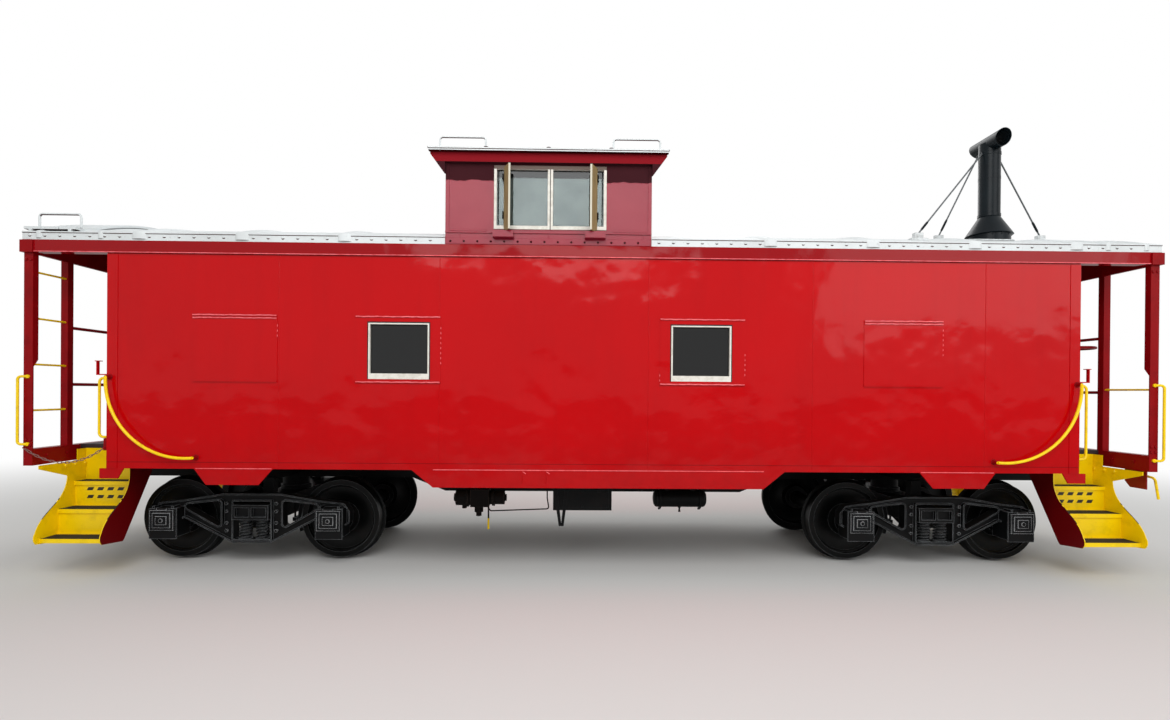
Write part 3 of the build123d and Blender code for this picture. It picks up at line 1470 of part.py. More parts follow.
with BuildPart() as journal_lid:
    lid_front = lid_pin_y - lid_thickness / 2
    lid_middle = lid_pin_z - lid_drop - lid_height / 2
    block(-lid_width / 2, lid_width / 2, lid_front, lid_front + lid_thickness, lid_middle - lid_height / 2,
          lid_middle + lid_height / 2)
    for half_width, half_height, out in lid_steps:
        block(-half_width, half_width, lid_front - out, lid_front, lid_middle - half_height,
              lid_middle + half_height)
    turned(0, lid_front, lid_middle, lid_boss_radius, lid_boss_out, (0, -1, 0))
    turned(-lid_knuckle_half, lid_pin_y, lid_pin_z, lid_pin_radius, 2 * lid_knuckle_half, (1, 0, 0))
    block(10 - lid_knuckle_half, lid_knuckle_half - 10, lid_pin_y - 6, lid_pin_y + 6,
          lid_pin_z - lid_drop - 5,
          lid_pin_z - 2)

wheelset_number = 0
lid_number = 0
for truck_name, truck_x in truck_centers:
    for piece, label in ((side_frames, "side_frames"), (truck_bolster, "truck_bolster"),
                         (truck_springs, "truck_springs"), (brake_beams, "brake_beams")):
        with BuildPart() as placed:
            add(piece.part.moved(Location((truck_x, 0, 0))))
        keep(placed, f"{label}_{truck_name}")
    for end in rail_sides:
        axle_x = truck_x + end * wheelbase / 2
        wheelset_number += 1
        with BuildPart() as placed:
            add(wheelset.part.rotate(Axis.Z, 90).moved(Location((axle_x, 0, axle_height))))
        keep(placed, f"wheelset_{wheelset_number}")
        for side_name, side in side_signs:
            lid_number += 1
            with BuildPart() as placed:
                add(journal_lid.part.rotate(Axis.Z, 0 if side < 0 else 180).moved(Location((axle_x, 0, 0))))
            keep(placed, f"journal_lid_{lid_number}")
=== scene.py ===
"""Finish of a steel cupola caboose: paint, seams, rivets, glazing, trim, springs, chain and the stage round it."""

import math
from functools import partial

import bpy
import numpy as np
from bpy.props import FloatProperty, FloatVectorProperty, IntProperty, PointerProperty
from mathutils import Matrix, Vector


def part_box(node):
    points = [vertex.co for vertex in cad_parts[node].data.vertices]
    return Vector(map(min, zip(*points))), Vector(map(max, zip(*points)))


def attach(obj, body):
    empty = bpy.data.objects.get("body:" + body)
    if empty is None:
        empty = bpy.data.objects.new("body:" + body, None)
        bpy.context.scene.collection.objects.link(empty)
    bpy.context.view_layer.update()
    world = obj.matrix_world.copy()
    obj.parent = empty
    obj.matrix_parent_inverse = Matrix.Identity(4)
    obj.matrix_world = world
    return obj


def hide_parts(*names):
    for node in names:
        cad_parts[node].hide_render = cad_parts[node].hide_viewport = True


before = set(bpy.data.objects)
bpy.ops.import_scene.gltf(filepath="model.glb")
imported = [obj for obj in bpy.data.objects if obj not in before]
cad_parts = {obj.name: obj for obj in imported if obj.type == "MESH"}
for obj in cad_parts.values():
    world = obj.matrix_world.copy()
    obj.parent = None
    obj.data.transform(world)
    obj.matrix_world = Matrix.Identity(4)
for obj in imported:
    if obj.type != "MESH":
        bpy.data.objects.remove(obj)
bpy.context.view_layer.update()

bl_info = {
    "name": "Cupola caboose finish",
    "version": (1, 0, 0),
    "blender": (4, 5, 0),
    "location": "View3D > Sidebar > Caboose",
    "description": "Adds seams, rivets, trim, springs and paint to the cupola caboose",
    "category": "Object",
}

# Photograph: its size and the camera fitted to it
PHOTO_WIDTH = 1170
PHOTO_HEIGHT = 720
FOCAL_PIXELS = 610.6
PRINCIPAL_X = 579.4
PRINCIPAL_Y = 393.6
SENSOR = 36.0

# Places on the car, in metres from the floor at the car's middle
WALL = 1.525
WALL_INSIDE = 1.466
SIDE_SILL = 1.060
SHEET_LAP = 1.122
DECK = 1.240
EAVE_BOTTOM = 3.115
EAVE_TOP = 3.230
ROOF_EDGE = 3.305
ROOF_RISE = 0.270
EAVE = 1.545
BODY_END = 4.700
ROOM_END = 4.621
CAR_END = 5.485
END_SILL_IN = 5.400
CORNER_POST = 5.4425
LEVER_PLATE = 5.497
STEP_MIDDLE = 5.030
NOSES = (1.520, 1.312, 1.108)
PLATE_LIP = 1.539
PLATES = ((-3.891, -3.091), (-2.345, -1.532), (0.580, 1.406), (2.569, 3.343))
SIDE_WINDOWS = (-1.932, 0.981)
SASH = (0.276, 1.986, 2.459)
GLASS_FACE = 1.501
CUPOLA_LEFT = -1.496
CUPOLA_RIGHT = 0.490
CUPOLA_SILL = 3.358
CUPOLA_LEDGE = 0.014
CUPOLA_WALL_TOP = 4.105
CUPOLA_PANES = ((-0.996, -0.506), (-0.472, 0.018))
CUPOLA_PANE_HEIGHTS = (3.418, 3.961)
CUPOLA_ROOF_HALF = 1.620
CUPOLA_ROOF_ENDS = (-1.646, 0.640)
CUPOLA_ROOF_EDGE = 4.135
CUPOLA_ROOF_RISE = 0.260
BOARDS = ((-0.936, 1), (-0.055, -1))
DOOR_FACE = 4.664
DOOR_PANE = 4.639
JACK = (4.150, -1.000)
JACK_COLLAR = 4.373
STAY_FEET = ((3.200, -1.330), (3.793, -0.700), (4.856, -0.800))
TRUCK = 3.575
JOURNAL = 0.978
SPRING_OFFSET = 0.088
SPRING_SEAT = 0.268
SPRING_TOP = 0.477
SIDES = (-1, 1)
ALONG = (1, 0, 0)
UP = (0, 0, 1)


def linear(value):
    """Linear red, green and blue of an sRGB hex colour."""
    parts = [int(value[index:index + 2], 16) / 255 for index in (0, 2, 4)]
    return tuple(part / 12.92 if part <= 0.04045 else ((part + 0.055) / 1.055) ** 2.4 for part in parts)


def colour(name, description, value):
    """A colour setting whose default is an sRGB hex colour."""
    return FloatVectorProperty(name=name, description=description, subtype="COLOR", size=3, min=0, max=1,
                               default=linear(value))


def length(name, description, value, least):
    """A length setting in metres."""
    return FloatProperty(name=name, description=description, unit="LENGTH", default=value, min=least)


class CabooseColours(bpy.types.PropertyGroup):
    body: colour("Sides", "Enamel of the sides", "BE0209")
    # painted shade: the ends' red is the sides' red made darker for the shade under the porch roofs
    ends: colour("Ends", "Enamel of the ends, frames and railings", "8E070E")
    # partly painted reflection: the cupola's red is tinted toward the sky that its gloss reflects
    cupola: colour("Cupola", "Enamel of the cupola", "8E1A30")
    roof: colour("Roof", "Enamel of the roofs and running boards", "DEE3E4")
    safety: colour("Steps", "Enamel of steps and grab irons", "FFD900")
    running_gear: colour("Running gear", "Paint of trucks and underframe", "0C0D0E")
    cabin: colour("Cabin", "Enamel of the walls and lockers inside", "6B7767")


class CabooseSizes(bpy.types.PropertyGroup):
    rivet_spacing: length("Rivet spacing", "Pitch of the rivets at the cupola's foot", 0.129, 0.02)
    rivet_radius: length("Rivet radius", "Radius of a rivet head", 0.009, 0.001)
    clip_pitch: length("Roof clip pitch", "Distance between the clips on the roof edge", 0.14, 0.05)
    bead_width: length("Weld width", "Width of a weld bead on the side sheets", 0.009, 0.001)
    spring_turns: FloatProperty(name="Spring turns", description="Turns of each truck spring", default=7.0, min=1)
    chain_links: IntProperty(name="Chain links", description="Links of the safety chain", default=21, min=3)


# Surfaces

def carried(profile, path, up=None, side=None, closed=False):
    """A closed profile carried along a path.

    At each path point the tangent t is the central difference of the path. The side axis is t x up, or the given
    side less its part along t, and the rise axis is side x t; a profile point (a, b) lands at point + a side +
    b rise. An open path gets both ends capped, a closed one joins its last ring to its first.
    """
    path = np.asarray(path, float)
    profile = np.asarray(profile, float)
    if closed:
        tangent = np.roll(path, -1, axis=0) - np.roll(path, 1, axis=0)
    else:
        tangent = np.gradient(path, axis=0)
    tangent /= np.linalg.norm(tangent, axis=1, keepdims=True)
    if side is None:
        side = np.cross(tangent, np.asarray(up, float))
    else:
        side = np.asarray(side, float) - tangent * (tangent @ np.asarray(side, float))[:, None]
    side /= np.linalg.norm(side, axis=1, keepdims=True)
    rise = np.cross(side, tangent)
    points = path[:, None] + profile[None, :, :1] * side[:, None] + profile[None, :, 1:] * rise[:, None]
    rows, columns = len(path), len(profile)
    rings = np.arange(rows if closed else rows - 1)[:, None]
    near, far = rings * columns, (rings + 1) % rows * columns
    here, after = np.arange(columns)[None], np.roll(np.arange(columns), -1)[None]
    quads = np.stack([near + here, far + here, far + after, near + after], axis=-1).reshape(-1, 4).tolist()
    if not closed:
        quads += [list(range(columns)), list(range((rows - 1) * columns, rows * columns))[::-1]]
    return points.reshape(-1, 3), quads


def round_profile(radius, sides):
    """A circle of that radius as equal steps of angle."""
    angle = np.linspace(0, 2 * np.pi, sides, endpoint=False)
    return np.stack([radius * np.cos(angle), radius * np.sin(angle)], axis=1)


def bead_profile(width, height):
    """A bead's section: half an ellipse of that width and height on a foot buried by a millimetre."""
    angle = np.linspace(0, np.pi, 7)
    crown = np.stack([width / 2 * np.cos(angle), height * np.sin(angle)], axis=1)
    return np.concatenate([[(-width / 2, -0.001), (width / 2, -0.001)], crown])


def bead(section, path, **directions):
    """A weld bead, seam cap or lip: the bead's section of a width and height carried along a path."""
    return carried(bead_profile(*section), path, **directions)


def flat_profile(width, height, corner):
    """A flat bar's section: a rectangle on the side axis with its two upper corners cut at 45 degrees."""
    half = width / 2
    return np.array([(-half, 0), (half, 0), (half, height - corner), (half - corner, height),
                     (corner - half, height), (-half, height - corner)])


def turned(profile, sides):
    """A profile turned round +Z: radius r and height h land at (r cos a, r sin a, h) for equal steps of a."""
    profile = np.asarray(profile, float)
    angle = np.linspace(0, 2 * np.pi, sides, endpoint=False)
    radius = profile[:, :1]
    points = np.stack([radius * np.cos(angle), radius * np.sin(angle), profile[:, 1:] + 0 * angle], axis=-1)
    rows = len(profile)
    first = np.arange(rows - 1)[:, None] * sides + np.arange(sides)[None]
    second = np.arange(rows - 1)[:, None] * sides + np.roll(np.arange(sides), -1)[None]
    quads = np.stack([first, second, second + sides, first + sides], axis=-1).reshape(-1, 4)
    faces = quads.tolist() + [list(range(sides))[::-1], list(range((rows - 1) * sides, rows * sides))]
    return points.reshape(-1, 3), faces


def stamped(shape, places, normals=UP):
    """One small shape set at a place or at many, with its +Z turned to each normal.

    Each normal n gets the axes u = n x a and v = n x u, where a is X or Z, whichever is less along n; a shape
    point (x, y, z) lands at place + x u + y v + z n.
    """
    points, faces = shape
    places = np.atleast_2d(np.asarray(places, float))
    normals = np.broadcast_to(np.asarray(normals, float), places.shape)
    helper = np.where(np.abs(normals[:, 2:]) < 0.7, np.array([[0.0, 0.0, 1.0]]), np.array([[1.0, 0.0, 0.0]]))
    u = np.cross(helper, normals)
    u /= np.linalg.norm(u, axis=1, keepdims=True)
    v = np.cross(normals, u)
    basis = np.stack([u, v, normals], axis=1)
    moved = places[:, None] + np.einsum("pk,nkj->npj", points, basis)
    shifts = np.arange(len(places)) * len(points)
    return moved.reshape(-1, 3), [[index + shift for index in face] for shift in shifts for face in faces]


def dome(radius, height):
    """A rivet head: radius and height follow most of a quarter ellipse in four steps."""
    angle = np.linspace(0, np.pi / 2 * 0.9, 4)
    return turned(np.stack([radius * np.cos(angle), height * np.sin(angle)], axis=1), 10)


def hexagon(width, height):
    """A bolt head: a hexagonal prism across flats of that width, with its top edge cut."""
    radius = width / math.sqrt(3)
    return turned([(radius, 0), (radius, height * 0.8), (radius * 0.85, height)], 6)


def joined(shapes):
    """Several point and face lists as one, with the face numbers shifted."""
    points, faces, count = [], [], 0
    for shape_points, shape_faces in shapes:
        points.append(shape_points)
        faces.extend([index + count for index in face] for face in shape_faces)
        count += len(shape_points)
    return np.concatenate(points), faces


def block(low, high, corner):
    """A flat-sided bar between two corners, its four long edges cut, carried along its longest side."""
    low, high = np.minimum(low, high), np.maximum(low, high)
    size = high - low
    long_axis = int(np.argmax(size))
    up_axis = int(np.argmin(size))
    across = 3 - long_axis - up_axis
    half, rise = size[across] / 2, size[up_axis] / 2
    corner = min(corner, half * 0.4, rise * 0.8)
    profile = [(-half + corner, -rise), (half - corner, -rise), (half, -rise + corner), (half, rise - corner),
               (half - corner, rise), (-half + corner, rise), (-half, rise - corner), (-half, -rise + corner)]
    middle = (low + high) / 2
    start, end = middle.copy(), middle.copy()
    start[long_axis], end[long_axis] = low[long_axis], high[long_axis]
    up = np.zeros(3)
    up[up_axis] = 1
    return carried(profile, [start, end], up)


def rounded_loop(x0, x1, z0, z1, radius):
    """A rectangle's outline with quarter-circle corners: each corner is six equal steps of a quarter turn."""
    turn = np.linspace(0, np.pi / 2, 6)
    corners = []
    for index, (x, z) in enumerate(((x1 - radius, z1 - radius), (x0 + radius, z1 - radius),
                                    (x0 + radius, z0 + radius), (x1 - radius, z0 + radius))):
        angle = turn + index * np.pi / 2
        corners.append(np.stack([x + radius * np.cos(angle), z + radius * np.sin(angle)], axis=1))
    return np.concatenate(corners)


def framed(profile, loop, place, axis, outward):
    """A profile carried round a flat loop that stands square to X or Y at a place, facing outwards."""
    path = np.insert(loop, 0 if axis == 0 else 1, place, axis=1)
    up = np.zeros(3)
    up[axis] = outward
    return carried(profile, path, up=up, closed=True)


def circle_of(count, radius, center, axis):
    """Equally spaced places on a circle round a centre, square to an axis, and the radial directions there."""
    angle = np.linspace(0, 2 * np.pi, count, endpoint=False) + np.pi / count
    flat = np.stack([np.cos(angle), np.sin(angle)], axis=1)
    radial = np.insert(flat, axis, 0.0, axis=1)
    return np.asarray(center, float) + radius * radial, radial


def piece(name, shapes, material, slot, body="car", smooth=True):
    """A mesh object at the origin, of one or more shapes, which rides on a body and takes a finish. The slot that
    it is given is not used.
    """
    points, faces = joined(shapes)
    mesh = bpy.data.meshes.new(name)
    mesh.from_pydata(points.tolist(), [], faces)
    mesh.materials.append(bpy.data.materials[material])
    if smooth:
        mesh.shade_smooth()
        mesh.set_sharp_from_angle(angle=math.radians(35))
    mesh.update()
    made = bpy.data.objects.new(name, mesh)
    bpy.context.scene.collection.objects.link(made)
    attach(made, body)
    return made


def both_sides(x, y, z):
    """Places along the car at the near side and again at the far side."""
    return np.array([(place, side * y, z) for side in SIDES for place in x])


def outward(places):
    """The normals of places on the car's sides: straight out along Y."""
    normals = np.zeros_like(places)
    normals[:, 1] = np.sign(places[:, 1])
    return normals


def arch(y, half, edge, rise):
    """Height at y of a circular arch through (half, edge) and the crown (0, edge + rise)."""
    radius = (half**2 + rise**2) / (2 * rise)
    return edge + rise - radius + np.sqrt(radius**2 - np.asarray(y, float)**2)


def hoop(x, y, z):
    """A path across the car at one place along it, through the heights z at the widths y."""
    return np.stack([np.full_like(y, x), y, z], axis=1)


# Materials

def add_node(tree, kind, values=(), **settings):
    """Add a shader node with its settings, then give its inputs values or links, in their order or by name or
    number. A node given as a value links its first output in use."""
    node = tree.nodes.new("ShaderNode" + kind)
    for key, value in settings.items():
        setattr(node, key, value)
    for key, value in values.items() if isinstance(values, dict) else enumerate(values):
        socket = node.inputs[key]
        if isinstance(value, bpy.types.Node):
            value = next(output for output in value.outputs if output.enabled)
        if isinstance(value, bpy.types.NodeSocket):
            tree.links.new(value, socket)
        elif socket.type == "RGBA":
            socket.default_value = (*tuple(value)[:3], 1.0)
        else:
            socket.default_value = value
    return node


def start_material(name):
    """A material's node adder, bound to its empty tree, and the object's own coordinates."""
    material = bpy.data.materials.new(name)
    material.use_nodes = True
    material.node_tree.nodes.clear()
    add = partial(add_node, material.node_tree)
    return add, add("TexCoord").outputs["Object"]


def close_material(add, base, layers, rough, normal, specular=0.5, **others):
    """Lay each mask's colour over the base in turn, then link the shader with its even values to the output."""
    for mask, over in layers:
        base = add("Mix", {0: mask, 6: base, 7: over}, data_type="RGBA")
    even = {key.replace("_", " "): value for key, value in others.items()}
    shader = add("BsdfPrincipled", {"Base Color": base, "Roughness": rough, "Normal": normal,
                                    "Specular IOR Level": specular, **even})
    add("OutputMaterial", [shader])


def per_metre(millimetres):
    """The texture scale whose features are that many millimetres across."""
    return 1000 / millimetres


def mottled(add, place, under, over, millimetres, low, high, most):
    """Colour under with clouds of colour over: noise of a real size, from none at low to most at high."""
    cloud = add("TexNoise", {"Vector": place, "Scale": per_metre(millimetres), "Detail": 6.0, "Roughness": 0.6})
    share = add("MapRange", [cloud, low, high, 0.0, most])
    return add("Mix", {0: share, 6: under, 7: over}, data_type="RGBA")


def grained(add, place, millimetres, height, detail=2.0, over=None):
    """A surface normal lifted by noise of a real size and height, on top of another if one is given."""
    grain = add("TexNoise", {"Vector": place, "Scale": per_metre(millimetres), "Detail": detail})
    below = {} if over is None else {"Normal": over}
    return add("Bump", {"Height": grain, "Strength": 1.0, "Distance": height / 1000, **below})


def edge_mask(add, millimetres):
    """One along the edges and zero on the flats: where a normal rounded over that radius leaves the face's own."""
    rounded = add("Bevel", {"Radius": millimetres / 1000}, samples=6)
    face = add("NewGeometry").outputs["True Normal"]
    match = add("VectorMath", [rounded, face], operation="DOT_PRODUCT")
    return add("MapRange", [match, 0.98, 0.80, 0.0, 1.0])


def inside_mask(add, place, middle=0.0, reach=ROOM_END):
    """One on the walls' inner faces: within a room's length about its middle, and within its width."""
    x, y, _ = add("SeparateXYZ", [place]).outputs
    long = add("Math", [x, middle, reach], operation="COMPARE")
    wide = add("Math", [y, 0.0, WALL_INSIDE], operation="COMPARE")
    return add("Math", [long, wide], operation="MULTIPLY")


def side_enamel(colours):
    """Alkyd enamel sprayed on steel sheet. Dents of the sheet bend what the gloss shows and orange peel softens
    it. The band under the roof's edge is painted a darker red as its shade, painted shade, and splashed dirt
    darkens the foot of the side."""
    add, place = start_material("red_alkyd_enamel_sprayed")
    height = add("SeparateXYZ", [place]).outputs["Z"]
    clouded = mottled(add, place, colours.body, linear("A8040A"), 1300, 0.40, 0.75, 0.35)
    streaks = add("Mapping", {"Vector": place, "Scale": (1.0, 1.0, 0.12)})
    streaked = mottled(add, streaks, clouded, linear("98040A"), 160, 0.50, 0.80, 0.18)
    foot = add("MapRange", [height, 0.90, 1.45, 0.35, 0.0])
    splash = add("TexNoise", {"Vector": place, "Scale": per_metre(60), "Detail": 7.0})
    dirt = add("Math", [foot, splash], operation="MULTIPLY")
    # painted shade: the eave band under the roof's edge is painted a darker red
    band = add("Math", [height, (EAVE_BOTTOM + EAVE_TOP) / 2, 0.066], operation="COMPARE")
    lap = add("Math", [height, SHEET_LAP, 0.0035], operation="COMPARE")
    layers = ((dirt, linear("5E0A0A")), (band, linear("93060F")), (lap, linear("86050A")),
              (inside_mask(add, place), colours.cabin))
    sheet = grained(add, place, 620, 26)
    dents = grained(add, place, 210, 3.2, over=sheet)
    # orange peel is about 2 mm across; it is drawn at 9 mm so that the render shows it
    skin = grained(add, place, 9, 0.05, over=dents)
    rough = add("MapRange", [splash, 0.3, 0.8, 0.07, 0.14])
    close_material(add, streaked, layers, rough, skin, 0.16)


def end_enamel(colours):
    """Alkyd enamel brushed on plate and angle: upright brush marks, half gloss and random dark clouds. Its red is
    the sides' red painted darker as the shade under the porch roofs: painted shade.
    """
    add, place = start_material("red_alkyd_enamel_brushed")
    worn = mottled(add, place, colours.ends, linear("5C0508"), 240, 0.45, 0.75, 0.5)
    # bristle marks are about 1 mm wide; they are drawn at 7 mm so that the render shows them
    bristles = add("Mapping", {"Vector": place, "Scale": (1.0, 1.0, 0.08)})
    marks = grained(add, bristles, 7, 0.25)
    close_material(add, worn, ((inside_mask(add, place), colours.cabin),), 0.34, marks, 0.1)


def cupola_enamel(colours):
    """Alkyd enamel polished over sheet: the glossiest coat, which shows a pale sky, with the sheet's slow waves.
    Its colour is partly the enamel's red and partly a painted reflection, tinted toward the sky that the coat
    reflects. A dark band under the roof's edge, painted shade, ends in a wavy edge, and the rail's face above it
    is painted a clear red as a lit strip: painted light."""
    add, place = start_material("red_alkyd_enamel_polished")
    _, y, z = add("SeparateXYZ", [place]).outputs
    # partly painted reflection: paler clouds of red tint the cupola toward the sky
    clouded = mottled(add, place, colours.cupola, linear("A02A3A"), 500, 0.40, 0.75, 0.6)
    # painted shade: above a wavy edge the wall's top is painted almost black and matt under the roof's edge
    edge = add("TexNoise", {"Vector": place, "Scale": per_metre(150), "Detail": 2.0})
    lifted = add("Math", [edge, 0.06, z], operation="MULTIPLY_ADD")
    eave_shade = add("MapRange", [lifted, 3.875, 3.885, 0.0, 0.9])
    # painted light: the rail's face is painted a clear red as the lit strip under the roof
    proud = add("Math", [add("Math", [y], operation="ABSOLUTE"), WALL + 0.030], operation="GREATER_THAN")
    high = add("Math", [z, CUPOLA_WALL_TOP - 0.0905], operation="GREATER_THAN")
    rail = add("Math", [proud, high], operation="MULTIPLY")
    room = inside_mask(add, place, (CUPOLA_LEFT + CUPOLA_RIGHT) / 2, (CUPOLA_RIGHT - CUPOLA_LEFT) / 2 - 0.03)
    layers = ((eave_shade, linear("180006")), (rail, linear("840012")), (room, colours.cabin))
    matt = add("MapRange", {0: eave_shade, 3: 0.2, 4: 0.95})
    skin = grained(add, place, 9, 0.05, over=grained(add, place, 420, 5))
    close_material(add, clouded, layers, matt, skin, 0.28)


def painted_highlight_beads():
    """The same enamel on weld beads and lips, painted pale as the light that they catch, a painted highlight, and
    half matt.
    """
    add, place = start_material("red_enamel_painted_highlight_on_beads")
    color = mottled(add, place, linear("F4747C"), linear("D02A34"), 45, 0.40, 0.70, 0.8)
    close_material(add, color, (), 0.35, grained(add, place, 12, 0.8))


def roof_enamel(name, colours, plank):
    """White roof enamel brushed on sheet or planks: half matt, grey with dust in the low spots and split along the
    grain on planks. Faces that look down, such as the porch ceilings, are red enamel painted very dark as their
    shade: partly painted shade."""
    add, place = start_material(name)
    dirty = mottled(add, place, colours.roof, linear("A6A8A6"), 700, 0.44, 0.80, 0.42)
    spotted = mottled(add, place, dirty, linear("6F706C"), 28, 0.60, 0.80, 0.45)
    facing = add("SeparateXYZ", [add("NewGeometry").outputs["Normal"]]).outputs
    # partly painted shade: faces that look down take a red painted very dark for their shade
    ceiling = add("Math", [facing["Z"], -0.3], operation="LESS_THAN")
    along = add("Mapping", {"Vector": place, "Scale": (0.06, 1.0, 1.0)})
    bump = grained(add, along, 10 if plank else 16, 2.2 if plank else 0.5, detail=5.0)
    close_material(add, spotted, ((ceiling, linear("3A0508")),), 0.55, bump, 0.35)


def safety_enamel(colours):
    """Yellow alkyd enamel brushed on bar and plate: glossy, with brown dirt in the brush marks."""
    add, place = start_material("yellow_alkyd_enamel_brushed")
    color = mottled(add, place, colours.safety, linear("A98414"), 90, 0.52, 0.78, 0.45)
    close_material(add, color, (), 0.3, grained(add, place, 14, 0.3), 0.35)


def step_enamel(colours):
    """Step units in yellow enamel, with black grit rolled on the treads behind a bare nosing and the inboard
    cheeks in dark red."""
    add, place = start_material("step_enamel_and_grit")
    x, y, z = add("SeparateXYZ", [place]).outputs
    facing = add("SeparateXYZ", [add("NewGeometry").outputs["Normal"]]).outputs
    across = add("Math", [y], operation="ABSOLUTE")
    level = add("Math", [facing["Z"], 0.7], operation="GREATER_THAN")
    above = add("Math", [z, 0.35], operation="GREATER_THAN")
    tread = add("Math", [level, above], operation="MULTIPLY")
    for nose in NOSES:
        nosing = add("Math", [across, nose, 0.010], operation="COMPARE")
        tread = add("Math", [tread, nosing], operation="SUBTRACT", use_clamp=True)
    inboard = add("Math", [add("Math", [x], operation="ABSOLUTE"), 4.7195], operation="LESS_THAN")
    turn = add("Math", [facing["X"]], operation="ABSOLUTE")
    cheek = add("Math", [inboard, add("Math", [turn, 0.7], operation="GREATER_THAN")], operation="MULTIPLY")
    yellow = mottled(add, place, colours.safety, linear("A98414"), 130, 0.50, 0.78, 0.35)
    # grit is about 1 mm across; it is drawn at 4 mm so that the render shows it
    grit = mottled(add, place, linear("0D0D0D"), linear("3A342E"), 4, 0.45, 0.70, 0.9)
    rough = add("MapRange", {0: tread, 3: 0.3, 4: 0.9})
    skin = grained(add, place, 4, 0.4)
    close_material(add, yellow, ((cheek, linear("6E050A")), (tread, grit)), rough, skin, 0.35)


def lever_enamel(colours):
    """Uncoupling levers in yellow enamel, with the plates behind them in dark red, both chipped by use."""
    add, place = start_material("red_and_yellow_lever_enamel")
    reach = add("Math", [add("SeparateXYZ", [place]).outputs["X"]], operation="ABSOLUTE")
    plate = add("Math", [reach, LEVER_PLATE], operation="LESS_THAN")
    yellow = mottled(add, place, colours.safety, linear("6B5310"), 60, 0.50, 0.72, 0.7)
    close_material(add, yellow, ((plate, linear("8A0A12")),), 0.35, grained(add, place, 14, 0.3), 0.35)


def casting_paint(name, base, dust, edge, edge_share, rough):
    """Asphalt paint over a sand casting or a forging: dense black, sandy to the eye and with brown dust on what
    looks up. Its edges, the inner ones too, are painted pale in patches: partly paint rubbed to metal, partly
    painted highlight where edges catch light."""
    add, place = start_material(name)
    facing = add("SeparateXYZ", [add("NewGeometry").outputs["Normal"]]).outputs
    up = add("MapRange", [facing["Z"], 0.2, 1.0, 0.0, 0.55])
    cloud = add("TexNoise", {"Vector": place, "Scale": per_metre(160), "Detail": 8.0})
    dusty = add("Math", [up, cloud], operation="MULTIPLY")
    oily = mottled(add, place, base, linear("141211"), 220, 0.45, 0.70, 0.6)
    # partly wear and partly painted highlight: the edges are painted pale in noisy patches
    chips_and_glints = add("MapRange", [cloud, 0.30, 0.60, 0.45, edge_share])
    wear_and_highlight = add("Math", [edge_mask(add, 7), chips_and_glints], operation="MULTIPLY")
    # moulding sand is about 0.5 mm; it is drawn at 6 mm so that the render shows it
    sand = grained(add, place, 6, 0.5, detail=4.0)
    close_material(add, oily, ((dusty, linear(dust)), (wear_and_highlight, linear(edge))), rough, sand, 0.12)


def plain_finish(name, base, spots, spot_size, rough, grain=(5, 0.2), **others):
    """A finish with clouds of a second tone and a fine grain, both of real sizes."""
    add, place = start_material(name)
    color = mottled(add, place, linear(base), linear(spots), spot_size, 0.40, 0.70, 0.7)
    close_material(add, color, (), rough, grained(add, place, *grain), **others)


def board_wood(name, light, dark, grain_axis, painted_edge=False):
    """Sawn board: long grain as noise stretched along one axis, dark in the pores, with a white painted edge on
    boards that stand outside."""
    add, place = start_material(name)
    scale = [1.0, 1.0, 1.0]
    scale[grain_axis] = 0.05
    along = add("Mapping", {"Vector": place, "Scale": scale})
    layers = []
    if painted_edge:
        facing = add("SeparateXYZ", [add("NewGeometry").outputs["Normal"]]).outputs
        side = add("Math", [facing["Y"]], operation="ABSOLUTE")
        turned_away = add("Math", [side, facing["Z"]], operation="MAXIMUM")
        edge = add("Math", [turned_away, 0.65], operation="GREATER_THAN")
        layers.append((edge, linear("CFCAB8")))
    color = mottled(add, along, linear(light), linear(dark), 9, 0.35, 0.70, 1.0)
    close_material(add, color, layers, 0.65, grained(add, along, 9, 0.6))


def sash_enamel():
    """Old white enamel on aluminium sash, chalky and stained. A dark red is painted as shade round the side
    windows' outer edge and top, the parting line of the cupola's two sashes is dark, and their head is painted a
    grey-brown as its shade."""
    add, place = start_material("white_enamel_on_aluminium")
    x, _, z = add("SeparateXYZ", [place]).outputs
    white = mottled(add, place, linear("E6E3DA"), linear("B4AE9E"), 60, 0.45, 0.75, 0.6)
    half, _, high = SASH
    # painted shade: outside a line 15 mm round the side windows' glass, and above their top, the sash keeps a dark
    # red base
    inner = [add("Math", [x, window, half + 0.015], operation="COMPARE") for window in SIDE_WINDOWS]
    inside_shade_line = add("Math", inner, operation="ADD")
    under = add("Math", [z, high + 0.012], operation="LESS_THAN")
    seen = add("Math", [inside_shade_line, under], operation="MULTIPLY")
    cupola = add("Math", [z, CUPOLA_SILL], operation="GREATER_THAN")
    parting = add("Math", [x, (CUPOLA_PANES[0][1] + CUPOLA_PANES[1][0]) / 2, 0.004], operation="COMPARE")
    lit = add("Math", [cupola, parting], operation="SUBTRACT", use_clamp=True)
    unshaded = add("Math", [seen, lit], operation="MAXIMUM")
    # painted shade: the cupola sashes' head is painted grey-brown
    head = add("Math", [z, CUPOLA_PANE_HEIGHTS[1]], operation="GREATER_THAN")
    close_material(add, linear("1C0507"), ((unshaded, white), (head, linear("5C4B42"))), 0.5,
                   grained(add, place, 8, 0.2), 0.3)


